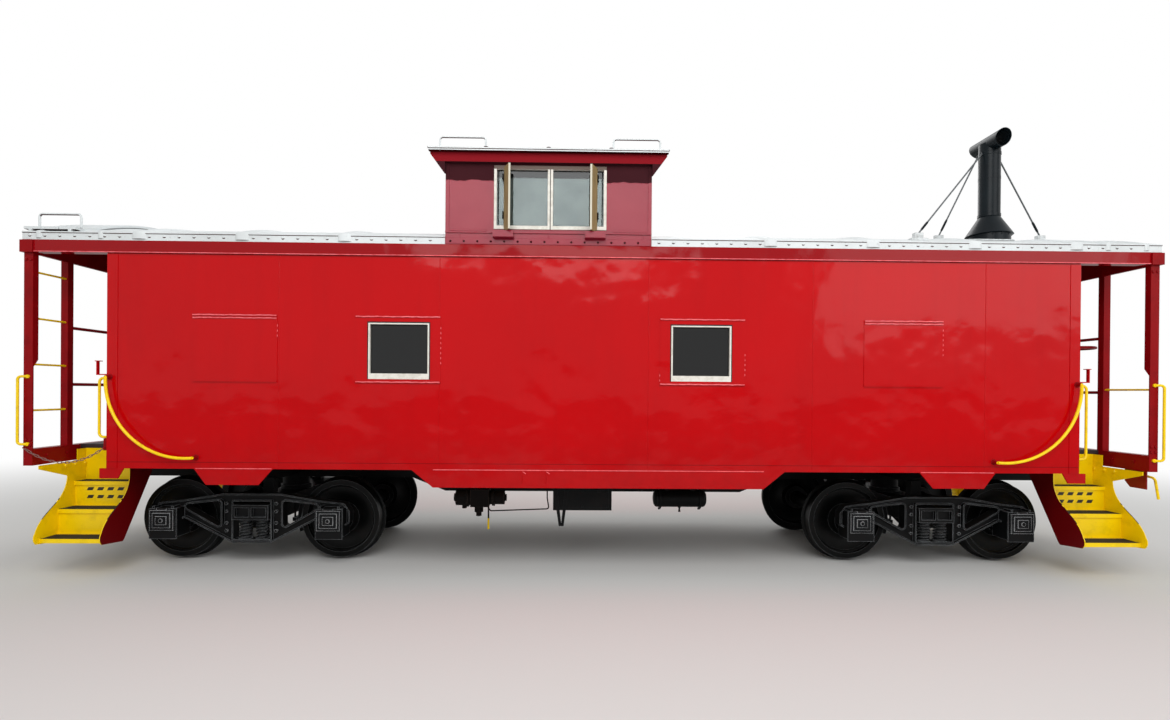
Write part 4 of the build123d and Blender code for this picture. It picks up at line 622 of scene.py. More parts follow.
def window_glass():
    """Float glass tinted a green so dark that it is nearly black, so that the side panes stand for the dark cabin
    behind them: painted shade. The cupola's panes are painted a pale grey-green with a little metal, a painted
    reflection of the sky, below a dark band that the roof's edge throws on them."""
    add, place = start_material("float_glass_tinted")
    height = add("SeparateXYZ", [place]).outputs["Z"]
    cupola = add("Math", [height, CUPOLA_SILL], operation="GREATER_THAN")
    # painted reflection: the cupola's panes are painted pale grey-green for the sky that they reflect
    sky_reflection_tint = mottled(add, place, linear("93A3A1"), linear("7C8D8D"), 240, 0.35, 0.65, 0.8)
    # painted shade: the dark band at the cupola panes' head stands for the roof edge's shade
    head = add("MapRange", [height, 3.880, 3.893, 0.0, 1.0])
    sky_reflection_metal = add("MapRange", {0: cupola, 3: 0.0, 4: 0.06})
    # rolled waves of float glass are slow and a few hundredths of a millimetre high
    wave = grained(add, place, 300, 0.4)
    # painted shade: the nearly black base darkens what the side panes let through
    close_material(add, linear("070D0E"), ((cupola, sky_reflection_tint), (head, linear("0A191B"))), 0.03, wave, 0.05,
                   Metallic=sky_reflection_metal, IOR=1.5, Transmission_Weight=0.8)


def cabin_enamel(colours):
    """Grey-green enamel brushed on the lockers and seats, and blacked cast iron on the stove and its pipe."""
    add, place = start_material("green_cabin_enamel_brushed")
    painted = mottled(add, place, colours.cabin, linear("4A5548"), 200, 0.40, 0.70, 0.7)
    centred = add("Mapping", {"Vector": place, "Location": (-JACK[0], -JACK[1], 0.0), "Scale": (1.0, 1.0, 0.0)})
    reach = add("VectorMath", [centred], operation="LENGTH")
    stove = add("Math", [reach, 0.30], operation="LESS_THAN")
    close_material(add, painted, ((stove, linear("151413")),), 0.5, grained(add, place, 8, 0.3))


def stage_floor():
    """Pale studio floor that brightens to white away from the object for the camera alone."""
    add, place = start_material("pale_studio_floor")
    reach = add("VectorMath", [place], operation="LENGTH")
    fade = add("MapRange", [reach, 7.0, 17.0, 0.0, 1.0], interpolation_type="SMOOTHSTEP")
    amount = add("Math", [fade, add("LightPath").outputs["Is Camera Ray"]], operation="MULTIPLY")
    matt = add("BsdfDiffuse", {"Color": linear("DCDCDA")})
    white = add("Emission", {"Color": (1, 1, 1), "Strength": 1.0})
    add("OutputMaterial", [add("MixShader", [amount, matt, white])])


# Operators

class CABOOSE_OT_paint(bpy.types.Operator):
    """Make every finish and give it to the frame's own nodes"""
    bl_idname = "caboose.paint"
    bl_label = "Paint the caboose"

    FINISHES = (
        ("red_alkyd_enamel_sprayed", ("side_wall",)),
        ("red_alkyd_enamel_brushed", ("end_wall", "end_door", "end_frame", "end_railings", "hand_brake")),
        ("red_alkyd_enamel_polished", ("cupola_sides", "cupola_ends")),
        ("white_roof_enamel_brushed", ("roof", "cupola_roof", "roof_hand_rails")),
        ("white_enamel_on_planks", ("running_boards",)),
        ("step_enamel_and_grit", ("steps",)),
        ("yellow_alkyd_enamel_brushed", ("side_grab_irons", "porch_grab_irons", "end_ladders")),
        ("red_and_yellow_lever_enamel", ("uncoupling_levers",)),
        ("asphalt_paint_on_cast_steel", ("side_frames", "truck_bolster", "truck_springs", "brake_beams")),
        ("asphalt_paint_on_lids_wear_and_highlight", ("journal_lid",)),
        ("asphalt_paint_on_plate", ("underframe", "brake_cylinder", "air_reservoir", "equipment_box",
                                    "brake_pipe")),
        ("rusted_cast_iron", ("control_valve", "couplers")),
        ("rolled_wheel_steel", ("wheelset",)),
        ("black_stove_enamel", ("smokejack",)),
        ("galvanised_rod", ("smokejack_stays", "safety_chain")),
        ("white_enamel_on_aluminium", ("window_frames",)),
        ("float_glass_tinted", ("window_glass",)),
        ("oiled_ash_board", ("wind_deflectors",)),
        ("pine_floor_board", ("floor",)),
        ("deck_plate_paint", ("porch_decks",)),
        ("green_cabin_enamel_brushed", ("cabin_furniture",)),
    )

    def execute(self, context):
        colours = context.scene.caboose_colours
        for make in (side_enamel, end_enamel, cupola_enamel, safety_enamel, step_enamel, lever_enamel,
                     cabin_enamel):
            make(colours)
        painted_highlight_beads()
        sash_enamel()
        window_glass()
        roof_enamel("white_roof_enamel_brushed", colours, False)
        roof_enamel("white_enamel_on_planks", colours, True)
        casting_paint("asphalt_paint_on_cast_steel", colours.running_gear, "241F1B", "94989B", 1.0, 0.45)
        casting_paint("asphalt_paint_on_lids_wear_and_highlight", linear("101214"), "3A3834", "D4D7D9", 1.0, 0.4)
        casting_paint("asphalt_paint_on_plate", linear("060708"), "1E1B18", "3C3E40", 0.5, 0.5)
        casting_paint("rusted_cast_iron", linear("120C0B"), "40301F", "6A5A52", 0.6, 0.7)
        casting_paint("rolled_wheel_steel", linear("050606"), "1A1714", "7C8082", 0.9, 0.36)
        # stove enamel is dense and even, and shows soft highlights
        plain_finish("black_stove_enamel", "0B1216", "141D22", 260, 0.3, specular=0.14)
        # zinc coat: half matt metal with flat spangles
        plain_finish("galvanised_rod", "6A6E70", "4A4C4D", 17, 0.45, Metallic=0.7)
        # rubbed plate paint with ground-in dust
        plain_finish("deck_plate_paint", "241616", "3A2E28", 100, 0.7, grain=(6, 0.6))
        # rusted mild steel: warm, matt, with dark pits
        plain_finish("rusted_chain_steel", "96706A", "54322C", 11, 0.75, grain=(4, 0.5), Metallic=0.2)
        # a dark matt red without gloss: painted shade on the sheets under the cupola's eaves, and dark spots on
        # the rivets at its foot
        plain_finish("red_enamel_dark_matt", "3E060B", "20080A", 90, 0.8, specular=0.0)
        plain_finish("black_enamel_stencilled", "141414", "242220", 33, 0.45)
        # window rubber has weathered to a dull grey skin
        plain_finish("weathered_window_rubber", "0B0B0B", "1C1C1B", 30, 0.65, specular=0.3)
        # glass over a dark room, seen as one deep surface
        plain_finish("dark_door_glass", "0A1011", "10191A", 400, 0.05, grain=(300, 0.3), specular=0.2)
        plain_finish("white_enamel_on_iron", "D6DADB", "8E8F8C", 30, 0.5)
        plain_finish("polished_brass", "B08D4A", "6E552B", 12, 0.3, Metallic=1.0)
        board_wood("oiled_ash_board", "A38B5D", "6F5A36", 2, painted_edge=True)
        board_wood("pine_floor_board", "7A6146", "4C3A28", 0)
        for finish, nodes in self.FINISHES:
            for name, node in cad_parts.items():
                if any(name == start or name.startswith(start + "_") for start in nodes):
                    node.data.materials.clear()
                    node.data.materials.append(bpy.data.materials[finish])
        return {"FINISHED"}


class CABOOSE_OT_roof(bpy.types.Operator):
    """Lay the seam caps over the roof, the lips and clips along its edges and the bolts of the running boards"""
    bl_idname = "caboose.roof"
    bl_label = "Add roof seams and bolts"

    SPANS = ((-CAR_END, CUPOLA_LEFT), (CUPOLA_RIGHT, CAR_END))
    # each kind of seam cap: its section and its places along the car
    CAPS = (((0.13, 0.018), (-4.39, -3.42, -2.45, 1.64, 2.64, 3.64, 4.64)),
            ((0.05, 0.012), (-5.33, -4.75, 5.33, 4.95)))
    CAP_DROPS = (0.06, 0.012)
    CLIP_MARGINS = (0.07, 0.03)
    CLIP = (0.017, 0.008)
    CLIP_DROP = 0.034
    LIP = (0.018, 0.007)
    LIP_DROP = 0.005
    CUPOLA_LIP = (0.020, 0.006)
    CUPOLA_LIP_DROP = 0.009
    CUPOLA_SEAM = (0.045, 0.010)
    CUPOLA_SEAMS = (-1.10, -0.505, 0.09)
    SOFFIT_INSET = 0.012
    SOFFIT_WIDTHS = (WALL + 0.048, CUPOLA_ROOF_HALF - 0.006)
    SOFFIT_HEIGHTS = (CUPOLA_WALL_TOP - 0.003, CUPOLA_WALL_TOP + 0.001)
    PLANKS = (-0.156, 0.0, 0.156)
    PLANK_TOP = 3.660
    PLANK_BOLT = (0.013, 0.006)
    BOLT_OFFSETS = (-0.045, 0.045)
    SADDLES = (-5.205, -3.5155, -1.826, 0.820, 3.0125, 5.205)

    def execute(self, context):
        pitch = context.scene.caboose_sizes.clip_pitch
        white = ("white_roof_enamel_brushed", "roof_white")
        y = np.linspace(-EAVE, EAVE, 49)
        crown = arch(y, EAVE, ROOF_EDGE, ROOF_RISE)
        caps = []
        for section, places in self.CAPS:
            for x in places:
                drop = np.array([(x, EAVE, ROOF_EDGE - depth) for depth in self.CAP_DROPS])
                path = np.concatenate([drop * (1, -1, 1), hoop(x, y, crown), drop[::-1]])
                caps.append(bead(section, path, side=ALONG))
        piece("roof_seam_caps", caps, *white)

        first, last = self.CLIP_MARGINS
        clips = np.concatenate([np.arange(low + first, high - last, pitch) for low, high in self.SPANS])
        places = both_sides(clips, EAVE, ROOF_EDGE - self.CLIP_DROP)
        piece("roof_edge_clips", [stamped(dome(*self.CLIP), places, outward(places))], *white)

        across = np.linspace(-CUPOLA_ROOF_HALF, CUPOLA_ROOF_HALF, 33)
        height = arch(across, CUPOLA_ROOF_HALF, CUPOLA_ROOF_EDGE, CUPOLA_ROOF_RISE) - self.CUPOLA_LIP_DROP
        left, right = CUPOLA_ROOF_ENDS
        lips, shade_sheets = [], []
        for side in SIDES:
            for span in self.SPANS:
                ends = [(x, side * EAVE, ROOF_EDGE - self.LIP_DROP) for x in span]
                lips.append(bead(self.LIP, ends, up=(0, side, 0)))
            ends = [(x, side * CUPOLA_ROOF_HALF, CUPOLA_ROOF_EDGE - self.CUPOLA_LIP_DROP) for x in (left, right)]
            lips.append(bead(self.CUPOLA_LIP, ends, up=(0, side, 0)))
            low, high = ((x, side * y, z) for x, y, z in zip((left + self.SOFFIT_INSET, right - self.SOFFIT_INSET),
                                                             self.SOFFIT_WIDTHS, self.SOFFIT_HEIGHTS))
            shade_sheets.append(block(low, high, 0.001))
        for x, end in ((left, -1), (right, 1)):
            lips.append(bead(self.CUPOLA_LIP, hoop(x, across, height), up=(end, 0, 0)))
        piece("roof_edge_lips", lips, *white)
        # painted shade: thin dark matt sheets under the cupola roof's overhang
        piece("cupola_soffit_shade_sheets", shade_sheets, "red_enamel_dark_matt", "red_paint")
        seams = [bead(self.CUPOLA_SEAM, hoop(x, across, height + self.CUPOLA_LIP_DROP), side=ALONG)
                 for x in self.CUPOLA_SEAMS]
        piece("cupola_roof_seams", seams, *white)

        bolts = [(x, plank + offset, self.PLANK_TOP) for x in self.SADDLES for plank in self.PLANKS
                 for offset in self.BOLT_OFFSETS]
        piece("running_board_bolts", [stamped(dome(*self.PLANK_BOLT), bolts)], "galvanised_rod", "roof_white")
        return {"FINISHED"}


class CABOOSE_OT_side_sheets(bpy.types.Operator):
    """Weld the side sheets and window plates, and strip and rivet the cupola"""
    bl_idname = "caboose.side_sheets"
    bl_label = "Weld the side sheets"

    SEAMS = (-1.545, 0.471, 2.070, 3.765, -3.075)
    SEAM_HEIGHTS = (SIDE_SILL + 0.03, EAVE_BOTTOM - 0.01)
    BUTTS = (-1.365, -0.509, 0.402)
    # each row of tack welds: its place along the car, its foot and its head
    TACKS = ((-3.091, 2.33, 2.47), (-1.532, 2.08, 2.44), (1.406, 1.99, 2.20), (0.580, 1.93, 2.02),
             (3.343, 2.20, 2.47))
    TACK = (0.006, 0.003)
    # a tack's three points: along the car, out from the sheet and up from its foot
    TACK_POINTS = ((0, 0.004, 0), (0.0015, 0.005, 0.010), (0, 0.004, 0.019))
    TACK_PITCH = 0.048
    PLATE_BEAD = (0.012, 0.0065)
    PLATE_INSET = 0.004
    BEAD_HEIGHTS = ((2.533, 2.506), (2.530, 1.903), (2.530, 1.903), (2.533, 2.506))
    DRIP = (0.009, 0.004)
    DRIP_HEIGHT = EAVE_BOTTOM + 0.004
    BELLY_ENDS = (-1.600, 1.600)
    BELLY_TICKS = (-0.741, -0.511)
    TICK = (0.014, 0.005)
    TICK_HEIGHTS = (0.935, 1.055)
    TICK_LEAN = ((0, 1.052), (0.035, 1.030))
    TABS = ((-3.860, -3.140), (3.140, 3.860))
    TOP_BEAD = (0.008, 0.004)
    TOP_BEAD_HEIGHT = SIDE_SILL + 0.003
    FOOT_BAND = (EAVE_TOP + 0.006, EAVE_TOP + 0.066)
    CORNER_STRIP = 0.036
    CORNER_STRIP_HEIGHTS = (CUPOLA_SILL, CUPOLA_WALL_TOP - 0.093)
    SILL_STRIPS = ((CUPOLA_LEFT + CORNER_STRIP, -1.10), (0.12, CUPOLA_RIGHT - CORNER_STRIP))
    SILL_STRIP_HEIGHTS = (CUPOLA_SILL + 0.004, CUPOLA_SILL + 0.024)
    BUTT_WIDTH = 0.012
    RIVET_ROW = (CUPOLA_LEFT + 0.05, CUPOLA_RIGHT - 0.03)
    RIVET_LINE = EAVE_TOP + 0.034
    RIVET_HEIGHT = 0.007

    def execute(self, context):
        sizes = context.scene.caboose_sizes
        weld = (sizes.bead_width, sizes.bead_width * 0.35)
        # a weld sways along the car and swells out of the sheet as its height grows
        z = np.linspace(*self.SEAM_HEIGHTS, 90)
        sway = 0.0012 * np.sin(z * 41) + 0.0008 * np.sin(z * 97)
        lift = 0.0006 * np.sin(z * 140)
        beads, pale, strips = [], [], []
        for side in SIDES:
            up = (0, side, 0)
            for x in self.SEAMS:
                beads.append(bead(weld, np.stack([x + sway, side * (WALL + lift), z], axis=1), up=up))
            for x, low, high in self.TACKS:
                for foot in np.arange(low, high, self.TACK_PITCH):
                    path = [(x + along, side * (WALL + out), foot + rise) for along, out, rise in self.TACK_POINTS]
                    pale.append(bead(self.TACK, path, up=up))
            for (left, right), heights in zip(PLATES, self.BEAD_HEIGHTS):
                x = np.linspace(left + self.PLATE_INSET, right - self.PLATE_INSET, 40)
                for height in heights:
                    wave = height + 0.0012 * np.sin(x * 67) + 0.0008 * np.sin(x * 23)
                    path = np.stack([x, np.full_like(x, side * (PLATE_LIP - 0.001)), wave], axis=1)
                    pale.append(bead(self.PLATE_BEAD, path, up=up))
            drip = [(x, side * EAVE, self.DRIP_HEIGHT) for x in (-CAR_END, CAR_END)]
            pale.append(bead(self.DRIP, drip, up=up))
            for ends in (self.BELLY_ENDS, *self.TABS):
                pale.append(bead(self.TOP_BEAD, [(x, side * WALL, self.TOP_BEAD_HEIGHT) for x in ends], up=up))
            for x in self.BELLY_TICKS:
                beads.append(bead(self.TICK, [(x, side * WALL, height) for height in self.TICK_HEIGHTS], up=up))
                lean = [(x + shift, side * WALL, height) for shift, height in self.TICK_LEAN]
                pale.append(bead(self.TOP_BEAD, lean, up=up))
            # the cupola's flat strips: left, right, foot, head and how far each stands proud
            flats = [(CUPOLA_LEFT, CUPOLA_RIGHT, *self.FOOT_BAND, 0.006)]
            flats += [(x, x + self.CORNER_STRIP, *self.CORNER_STRIP_HEIGHTS, 0.006)
                      for x in (CUPOLA_LEFT, CUPOLA_RIGHT - self.CORNER_STRIP)]
            flats += [(*ends, *self.SILL_STRIP_HEIGHTS, 0.005) for ends in self.SILL_STRIPS]
            flats += [(x, x + self.BUTT_WIDTH, self.FOOT_BAND[1], CUPOLA_SILL - CUPOLA_LEDGE, 0.004)
                      for x in self.BUTTS]
            strips += [block((x0, side * (WALL - 0.001), low), (x1, side * (WALL + proud), high), 0.002)
                       for x0, x1, low, high, proud in flats]
        piece("side_sheet_welds", beads, "red_alkyd_enamel_sprayed", "red_paint")
        # painted highlight: the tacks, plate beads, drip and belly beads are painted pale
        piece("painted_highlight_beads", pale, "red_enamel_painted_highlight_on_beads", "red_paint")
        piece("cupola_strips", strips, "red_alkyd_enamel_polished", "red_paint")
        rivets = np.arange(*self.RIVET_ROW, sizes.rivet_spacing)
        places = both_sides(rivets, WALL + 0.006, self.RIVET_LINE)
        head = dome(sizes.rivet_radius * 1.2, self.RIVET_HEIGHT)
        piece("cupola_rivets", [stamped(head, places, outward(places))], "red_enamel_dark_matt", "red_paint")
        return {"FINISHED"}


class CABOOSE_OT_windows(bpy.types.Operator):
    """Set the rubber round the panes, and the hinges and hooks of the wind deflectors"""
    bl_idname = "caboose.windows"
    bl_label = "Glaze the windows"

    RUBBER = (0.011, 0.006)
    RUBBER_INSET = 0.005
    RUBBER_CORNER = 0.012
    HINGES = (3.48, 3.84)
    # where a hinge's barrel stands off a board's edge, by the way that the board leans
    HINGE_SHIFTS = {1: -0.006, -1: 0.024}
    HINGE_LINE = WALL + 0.019
    BARREL = ((0.006, 0), (0.0075, 0.002), (0.0075, 0.068), (0.006, 0.070))
    HOOK_SHIFT = 0.035
    BOARD_MIDDLE = 0.009
    HOOK_HALF = 0.016
    HOOK_FACES = (1.594, 1.598)
    HOOK_TOP = 3.398
    SCREW = (0.012, 0.008)
    SCREW_SPREAD = 0.030
    SCREW_LINE = 1.585

    def execute(self, context):
        rubber, irons = [], []
        half, low, high = SASH
        panes = [(x - half, x + half, low, high) for x in SIDE_WINDOWS]
        panes += [(x0, x1, *CUPOLA_PANE_HEIGHTS) for x0, x1 in CUPOLA_PANES]
        inset = self.RUBBER_INSET
        for side in SIDES:
            for x0, x1, z0, z1 in panes:
                loop = rounded_loop(x0 + inset, x1 - inset, z0 + inset, z1 - inset, self.RUBBER_CORNER)
                rubber.append(framed(bead_profile(*self.RUBBER), loop, side * GLASS_FACE, 1, side))
            for x, lean in BOARDS:
                barrels = [(x + self.HINGE_SHIFTS[lean], side * self.HINGE_LINE, z) for z in self.HINGES]
                irons += [stamped(turned(self.BARREL, 12), place) for place in barrels]
                hook = x + lean * self.HOOK_SHIFT + self.BOARD_MIDDLE
                inner, outer = self.HOOK_FACES
                irons.append(block((hook - self.HOOK_HALF, side * inner, CUPOLA_SILL),
                                   (hook + self.HOOK_HALF, side * outer, self.HOOK_TOP), 0.001))
                irons += [stamped(dome(*self.SCREW), (hook + way * self.SCREW_SPREAD, side * self.SCREW_LINE,
                                                      CUPOLA_SILL)) for way in SIDES]
        piece("window_rubbers", rubber, "weathered_window_rubber", "black_paint")
        piece("deflector_irons", irons, "asphalt_paint_on_plate", "black_paint")
        return {"FINISHED"}


class CABOOSE_OT_doors(bpy.types.Operator):
    """Glaze and panel the end doors, and frame their openings"""
    bl_idname = "caboose.doors"
    bl_label = "Finish the doors"

    PANE = (0.1985, 2.3015, 2.8985)
    PANE_SHIFTS = (-0.0065, 0.0065)
    PANE_HALF = 0.0028
    RUBBER = (0.014, 0.007)
    RUBBER_LOOP = (-0.192, 0.192, 2.308, 2.892, 0.014)
    RUBBER_FACE = DOOR_PANE + 0.0093
    PANE_BAR = (0.034, 0.005, 0.0015)
    PANE_TRIM = (-0.222, 0.222, 2.278, 2.922, 0.010)
    PANEL_BEAD = (0.016, 0.007)
    PANEL_TRIM = (-0.250, 0.250, 1.420, 2.010, 0.020)
    KNOB = (0.285, 2.080)
    ROSE = ((0.034, 0), (0.034, 0.003), (0.030, 0.005))
    LOCK_HEIGHT = 1.985
    LOCK = ((0.017, 0), (0.017, 0.004), (0.013, 0.006), (0.013, 0.010))
    HINGE = (4.610, 0.350)
    HINGE_FEET = (1.500, 2.190, 2.880)
    HINGE_LENGTH = 0.09
    PIN_HEAD = (0.009, 0.006)
    JAMB = (0.060, 0.006, 0.002)
    JAMB_HALF = 0.384
    JAMB_TOP = 3.20
    LINTEL = (0.354, 3.165)

    def execute(self, context):
        jambs = []
        half, low, high = self.PANE
        knob, knob_height = self.KNOB
        for name, end in (("left", -1), ("right", 1)):
            out = (end, 0, 0)
            face = end * DOOR_FACE
            glass = []
            for shift in self.PANE_SHIFTS:
                x = end * (DOOR_PANE + shift)
                glass.append(block((x - self.PANE_HALF, -half, low), (x + self.PANE_HALF, half, high), 0.001))
            loop = rounded_loop(*self.RUBBER_LOOP)
            rubber = framed(bead_profile(*self.RUBBER), loop, end * self.RUBBER_FACE, 0, end)
            trim = [framed(flat_profile(*self.PANE_BAR), rounded_loop(*self.PANE_TRIM), face, 0, end),
                    framed(bead_profile(*self.PANEL_BEAD), rounded_loop(*self.PANEL_TRIM), face, 0, end),
                    stamped(turned(self.ROSE, 20), (face, -end * knob, knob_height), out)]
            pins = [(end * self.HINGE[0], end * self.HINGE[1], z) for foot in self.HINGE_FEET
                    for z in (foot, foot + self.HINGE_LENGTH)]
            trim.append(stamped(dome(*self.PIN_HEAD), pins, [(0, 0, -1), (0, 0, 1)] * len(self.HINGE_FEET)))
            lock = stamped(turned(self.LOCK, 16), (face, -end * knob, self.LOCK_HEIGHT), out)
            body = f"door_{name}"
            piece(f"door_glass_{name}", glass, "dark_door_glass", "window_glass", body)
            piece(f"door_rubber_{name}", [rubber], "weathered_window_rubber", "black_paint", body)
            piece(f"door_trim_{name}", trim, "red_alkyd_enamel_brushed", "red_paint", body)
            piece(f"door_lock_{name}", [lock], "polished_brass", "chain_steel", body)
            wall = end * BODY_END
            bars = [[(wall, y, DECK + 0.002), (wall, y, self.JAMB_TOP)] for y in (-self.JAMB_HALF, self.JAMB_HALF)]
            reach, top = self.LINTEL
            bars.append([(wall, -reach, top), (wall, reach, top)])
            jambs += [carried(flat_profile(*self.JAMB), bar, up=out) for bar in bars]
        piece("door_frames", jambs, "red_alkyd_enamel_brushed", "red_paint")
        return {"FINISHED"}


class CABOOSE_OT_trucks(bpy.types.Operator):
    """Wind the truck springs and bolt the side frames"""
    bl_idname = "caboose.trucks"
    bl_label = "Add springs and frame bolts"

    # each coil: its radius, its wire's radius, its hand and its turns as a share of the setting
    COILS = ((0.056, 0.0112, 1, 1), (0.030, 0.0065, -1, 1.6))
    STEPS_A_TURN = 18
    SEAT_PLATE = ((0.072, 0), (0.072, 0.006), (0.066, 0.008))
    BOLT_OFFSET = 0.255
    BOLT_HEIGHTS = (0.36, 0.44, 0.56, 0.64)
    BOLT = (0.032, 0.016)

    def execute(self, context):
        turns = context.scene.caboose_sizes.spring_turns
        for name, middle in (("left", -TRUCK), ("right", TRUCK)):
            body = f"truck_{name}"
            coils = []
            for side in SIDES:
                for x in (middle - SPRING_OFFSET, middle + SPRING_OFFSET):
                    for radius, wire, hand, more in self.COILS:
                        count = turns * more
                        share = np.linspace(0, 1, int(count * self.STEPS_A_TURN))
                        angle = hand * share * count * 2 * np.pi
                        # the first and last half turns lie flat
                        eased = np.clip((share * count - 0.5) / (count - 1), 0, 1)
                        z = SPRING_SEAT + wire + eased * (SPRING_TOP - SPRING_SEAT - 2 * wire)
                        round_x, round_y = radius * np.cos(angle), radius * np.sin(angle)
                        path = np.stack([x + round_x, side * JOURNAL + round_y, z], axis=1)
                        coils.append(carried(round_profile(wire, 8), path, up=UP))
                    coils.append(stamped(turned(self.SEAT_PLATE, 20), (x, side * JOURNAL, SPRING_SEAT)))
            springs = piece(f"spring_nests_{name}", coils, "asphalt_paint_on_cast_steel", "truck_casting", body)
            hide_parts(f"truck_springs_{name}")
            bolts = np.array([(middle + sign * self.BOLT_OFFSET, side * (JOURNAL + 0.060), z) for side in SIDES
                              for sign in SIDES for z in self.BOLT_HEIGHTS])
            piece(f"frame_bolts_{name}", [stamped(hexagon(*self.BOLT), bolts, outward(bolts))],
                  "asphalt_paint_on_lids_wear_and_highlight", "truck_casting", body)
        return {"FINISHED"}


class CABOOSE_OT_underbody(bpy.types.Operator):
    """Bolt the brake gear under the floor, close the tank's ends and sleeve the valve handle"""
    bl_idname = "caboose.underbody"
    bl_label = "Finish the underbody"

    BOLT = (0.020, 0.012)
    # each ring of bolts: its place, the way that it looks, its radius and its number
    RINGS = (((0.284, 0.700, 0.740), -1, 0.128, 8), ((0.576, 0.700, 0.740), 1, 0.128, 8),
             ((-1.416, -0.600, 0.640), -1, 0.096, 6), ((-1.124, -0.600, 0.640), 1, 0.084, 6))
    BOX_FACE = -1.178
    BOX_BOLTS = ((-0.405, -0.150, 0.105), (0.655, 0.805))
    BOX_HINGES = (-0.32, 0.02)
    HINGE_HALF = 0.018
    HINGE_THICKNESS = 0.008
    HINGE_HEIGHTS = (0.795, 0.835)
    BARREL_HEIGHT = 0.822
    BARREL = ((0.006, -0.022), (0.007, -0.020), (0.007, 0.020), (0.006, 0.022))
    TANK = (-0.600, 0.640)
    TANK_ENDS = ((0.690, -1), (1.210, 1))
    TANK_HEAD = ((0.094, 0), (0.088, 0.016), (0.066, 0.030), (0.034, 0.037), (0.014, 0.039))
    TANK_STRAPS = (0.728, 1.172)
    # half a strap's width, then its lug's middle and two corners across the car
    STRAP_HALF = 0.006
    LUG_MIDDLE = (-0.600, 0.525)
    LUG_FACES = ((-0.622, 0.520), (-0.578, 0.530))
    DRAIN = (0.950, -0.600, 0.548)
    COCK = ((0.016, 0), (0.016, 0.012), (0.010, 0.014), (0.010, 0.045), (0.014, 0.047), (0.014, 0.058))
    DRAFT_BOLTS = (5.500, 0.140, (0.80, 0.88, 0.96, 1.04))
    HANDLE = (-1.175, -0.660, 0.3005)
    SLEEVE = ((0.0100, 0), (0.0115, 0.002), (0.0115, 0.118), (0.0100, 0.120))

    def execute(self, context):
        bolt = hexagon(*self.BOLT)
        shapes = [stamped(bolt, circle_of(count, radius, place, 0)[0], (way, 0, 0))
                  for place, way, radius, count in self.RINGS]
        corners = [(x, self.BOX_FACE, z) for x in self.BOX_BOLTS[0] for z in self.BOX_BOLTS[1]]
        shapes.append(stamped(bolt, corners, (0, -1, 0)))
        front = self.BOX_FACE - self.HINGE_THICKNESS
        low, high = self.HINGE_HEIGHTS
        for x in self.BOX_HINGES:
            left, right = x - self.HINGE_HALF, x + self.HINGE_HALF
            shapes.append(block((left, self.BOX_FACE, low), (right, front, high), 0.002))
            shapes.append(stamped(turned(self.BARREL, 10), (x, front, self.BARREL_HEIGHT), ALONG))
        shapes += [stamped(turned(self.TANK_HEAD, 32), (x, *self.TANK), (way, 0, 0)) for x, way in self.TANK_ENDS]
        shapes.append(stamped(turned(self.COCK, 14), self.DRAIN, (0, 0, -1)))
        for x in self.TANK_STRAPS:
            low, high = self.LUG_FACES
            shapes.append(block((x - self.STRAP_HALF, *low), (x + self.STRAP_HALF, *high), 0.001))
            shapes.append(stamped(bolt, (x - self.STRAP_HALF, *self.LUG_MIDDLE), (-1, 0, 0)))
        reach, spread, heights = self.DRAFT_BOLTS
        for end in SIDES:
            places = [(end * reach, side * spread, z) for side in SIDES for z in heights]
            shapes.append(stamped(bolt, places, (end, 0, 0)))
        piece("underbody_bolts", shapes, "asphalt_paint_on_plate", "black_paint")
        sleeve = stamped(turned(self.SLEEVE, 14), self.HANDLE)
        piece("valve_handle_sleeve", [sleeve], "yellow_alkyd_enamel_brushed", "yellow_paint")
        return {"FINISHED"}


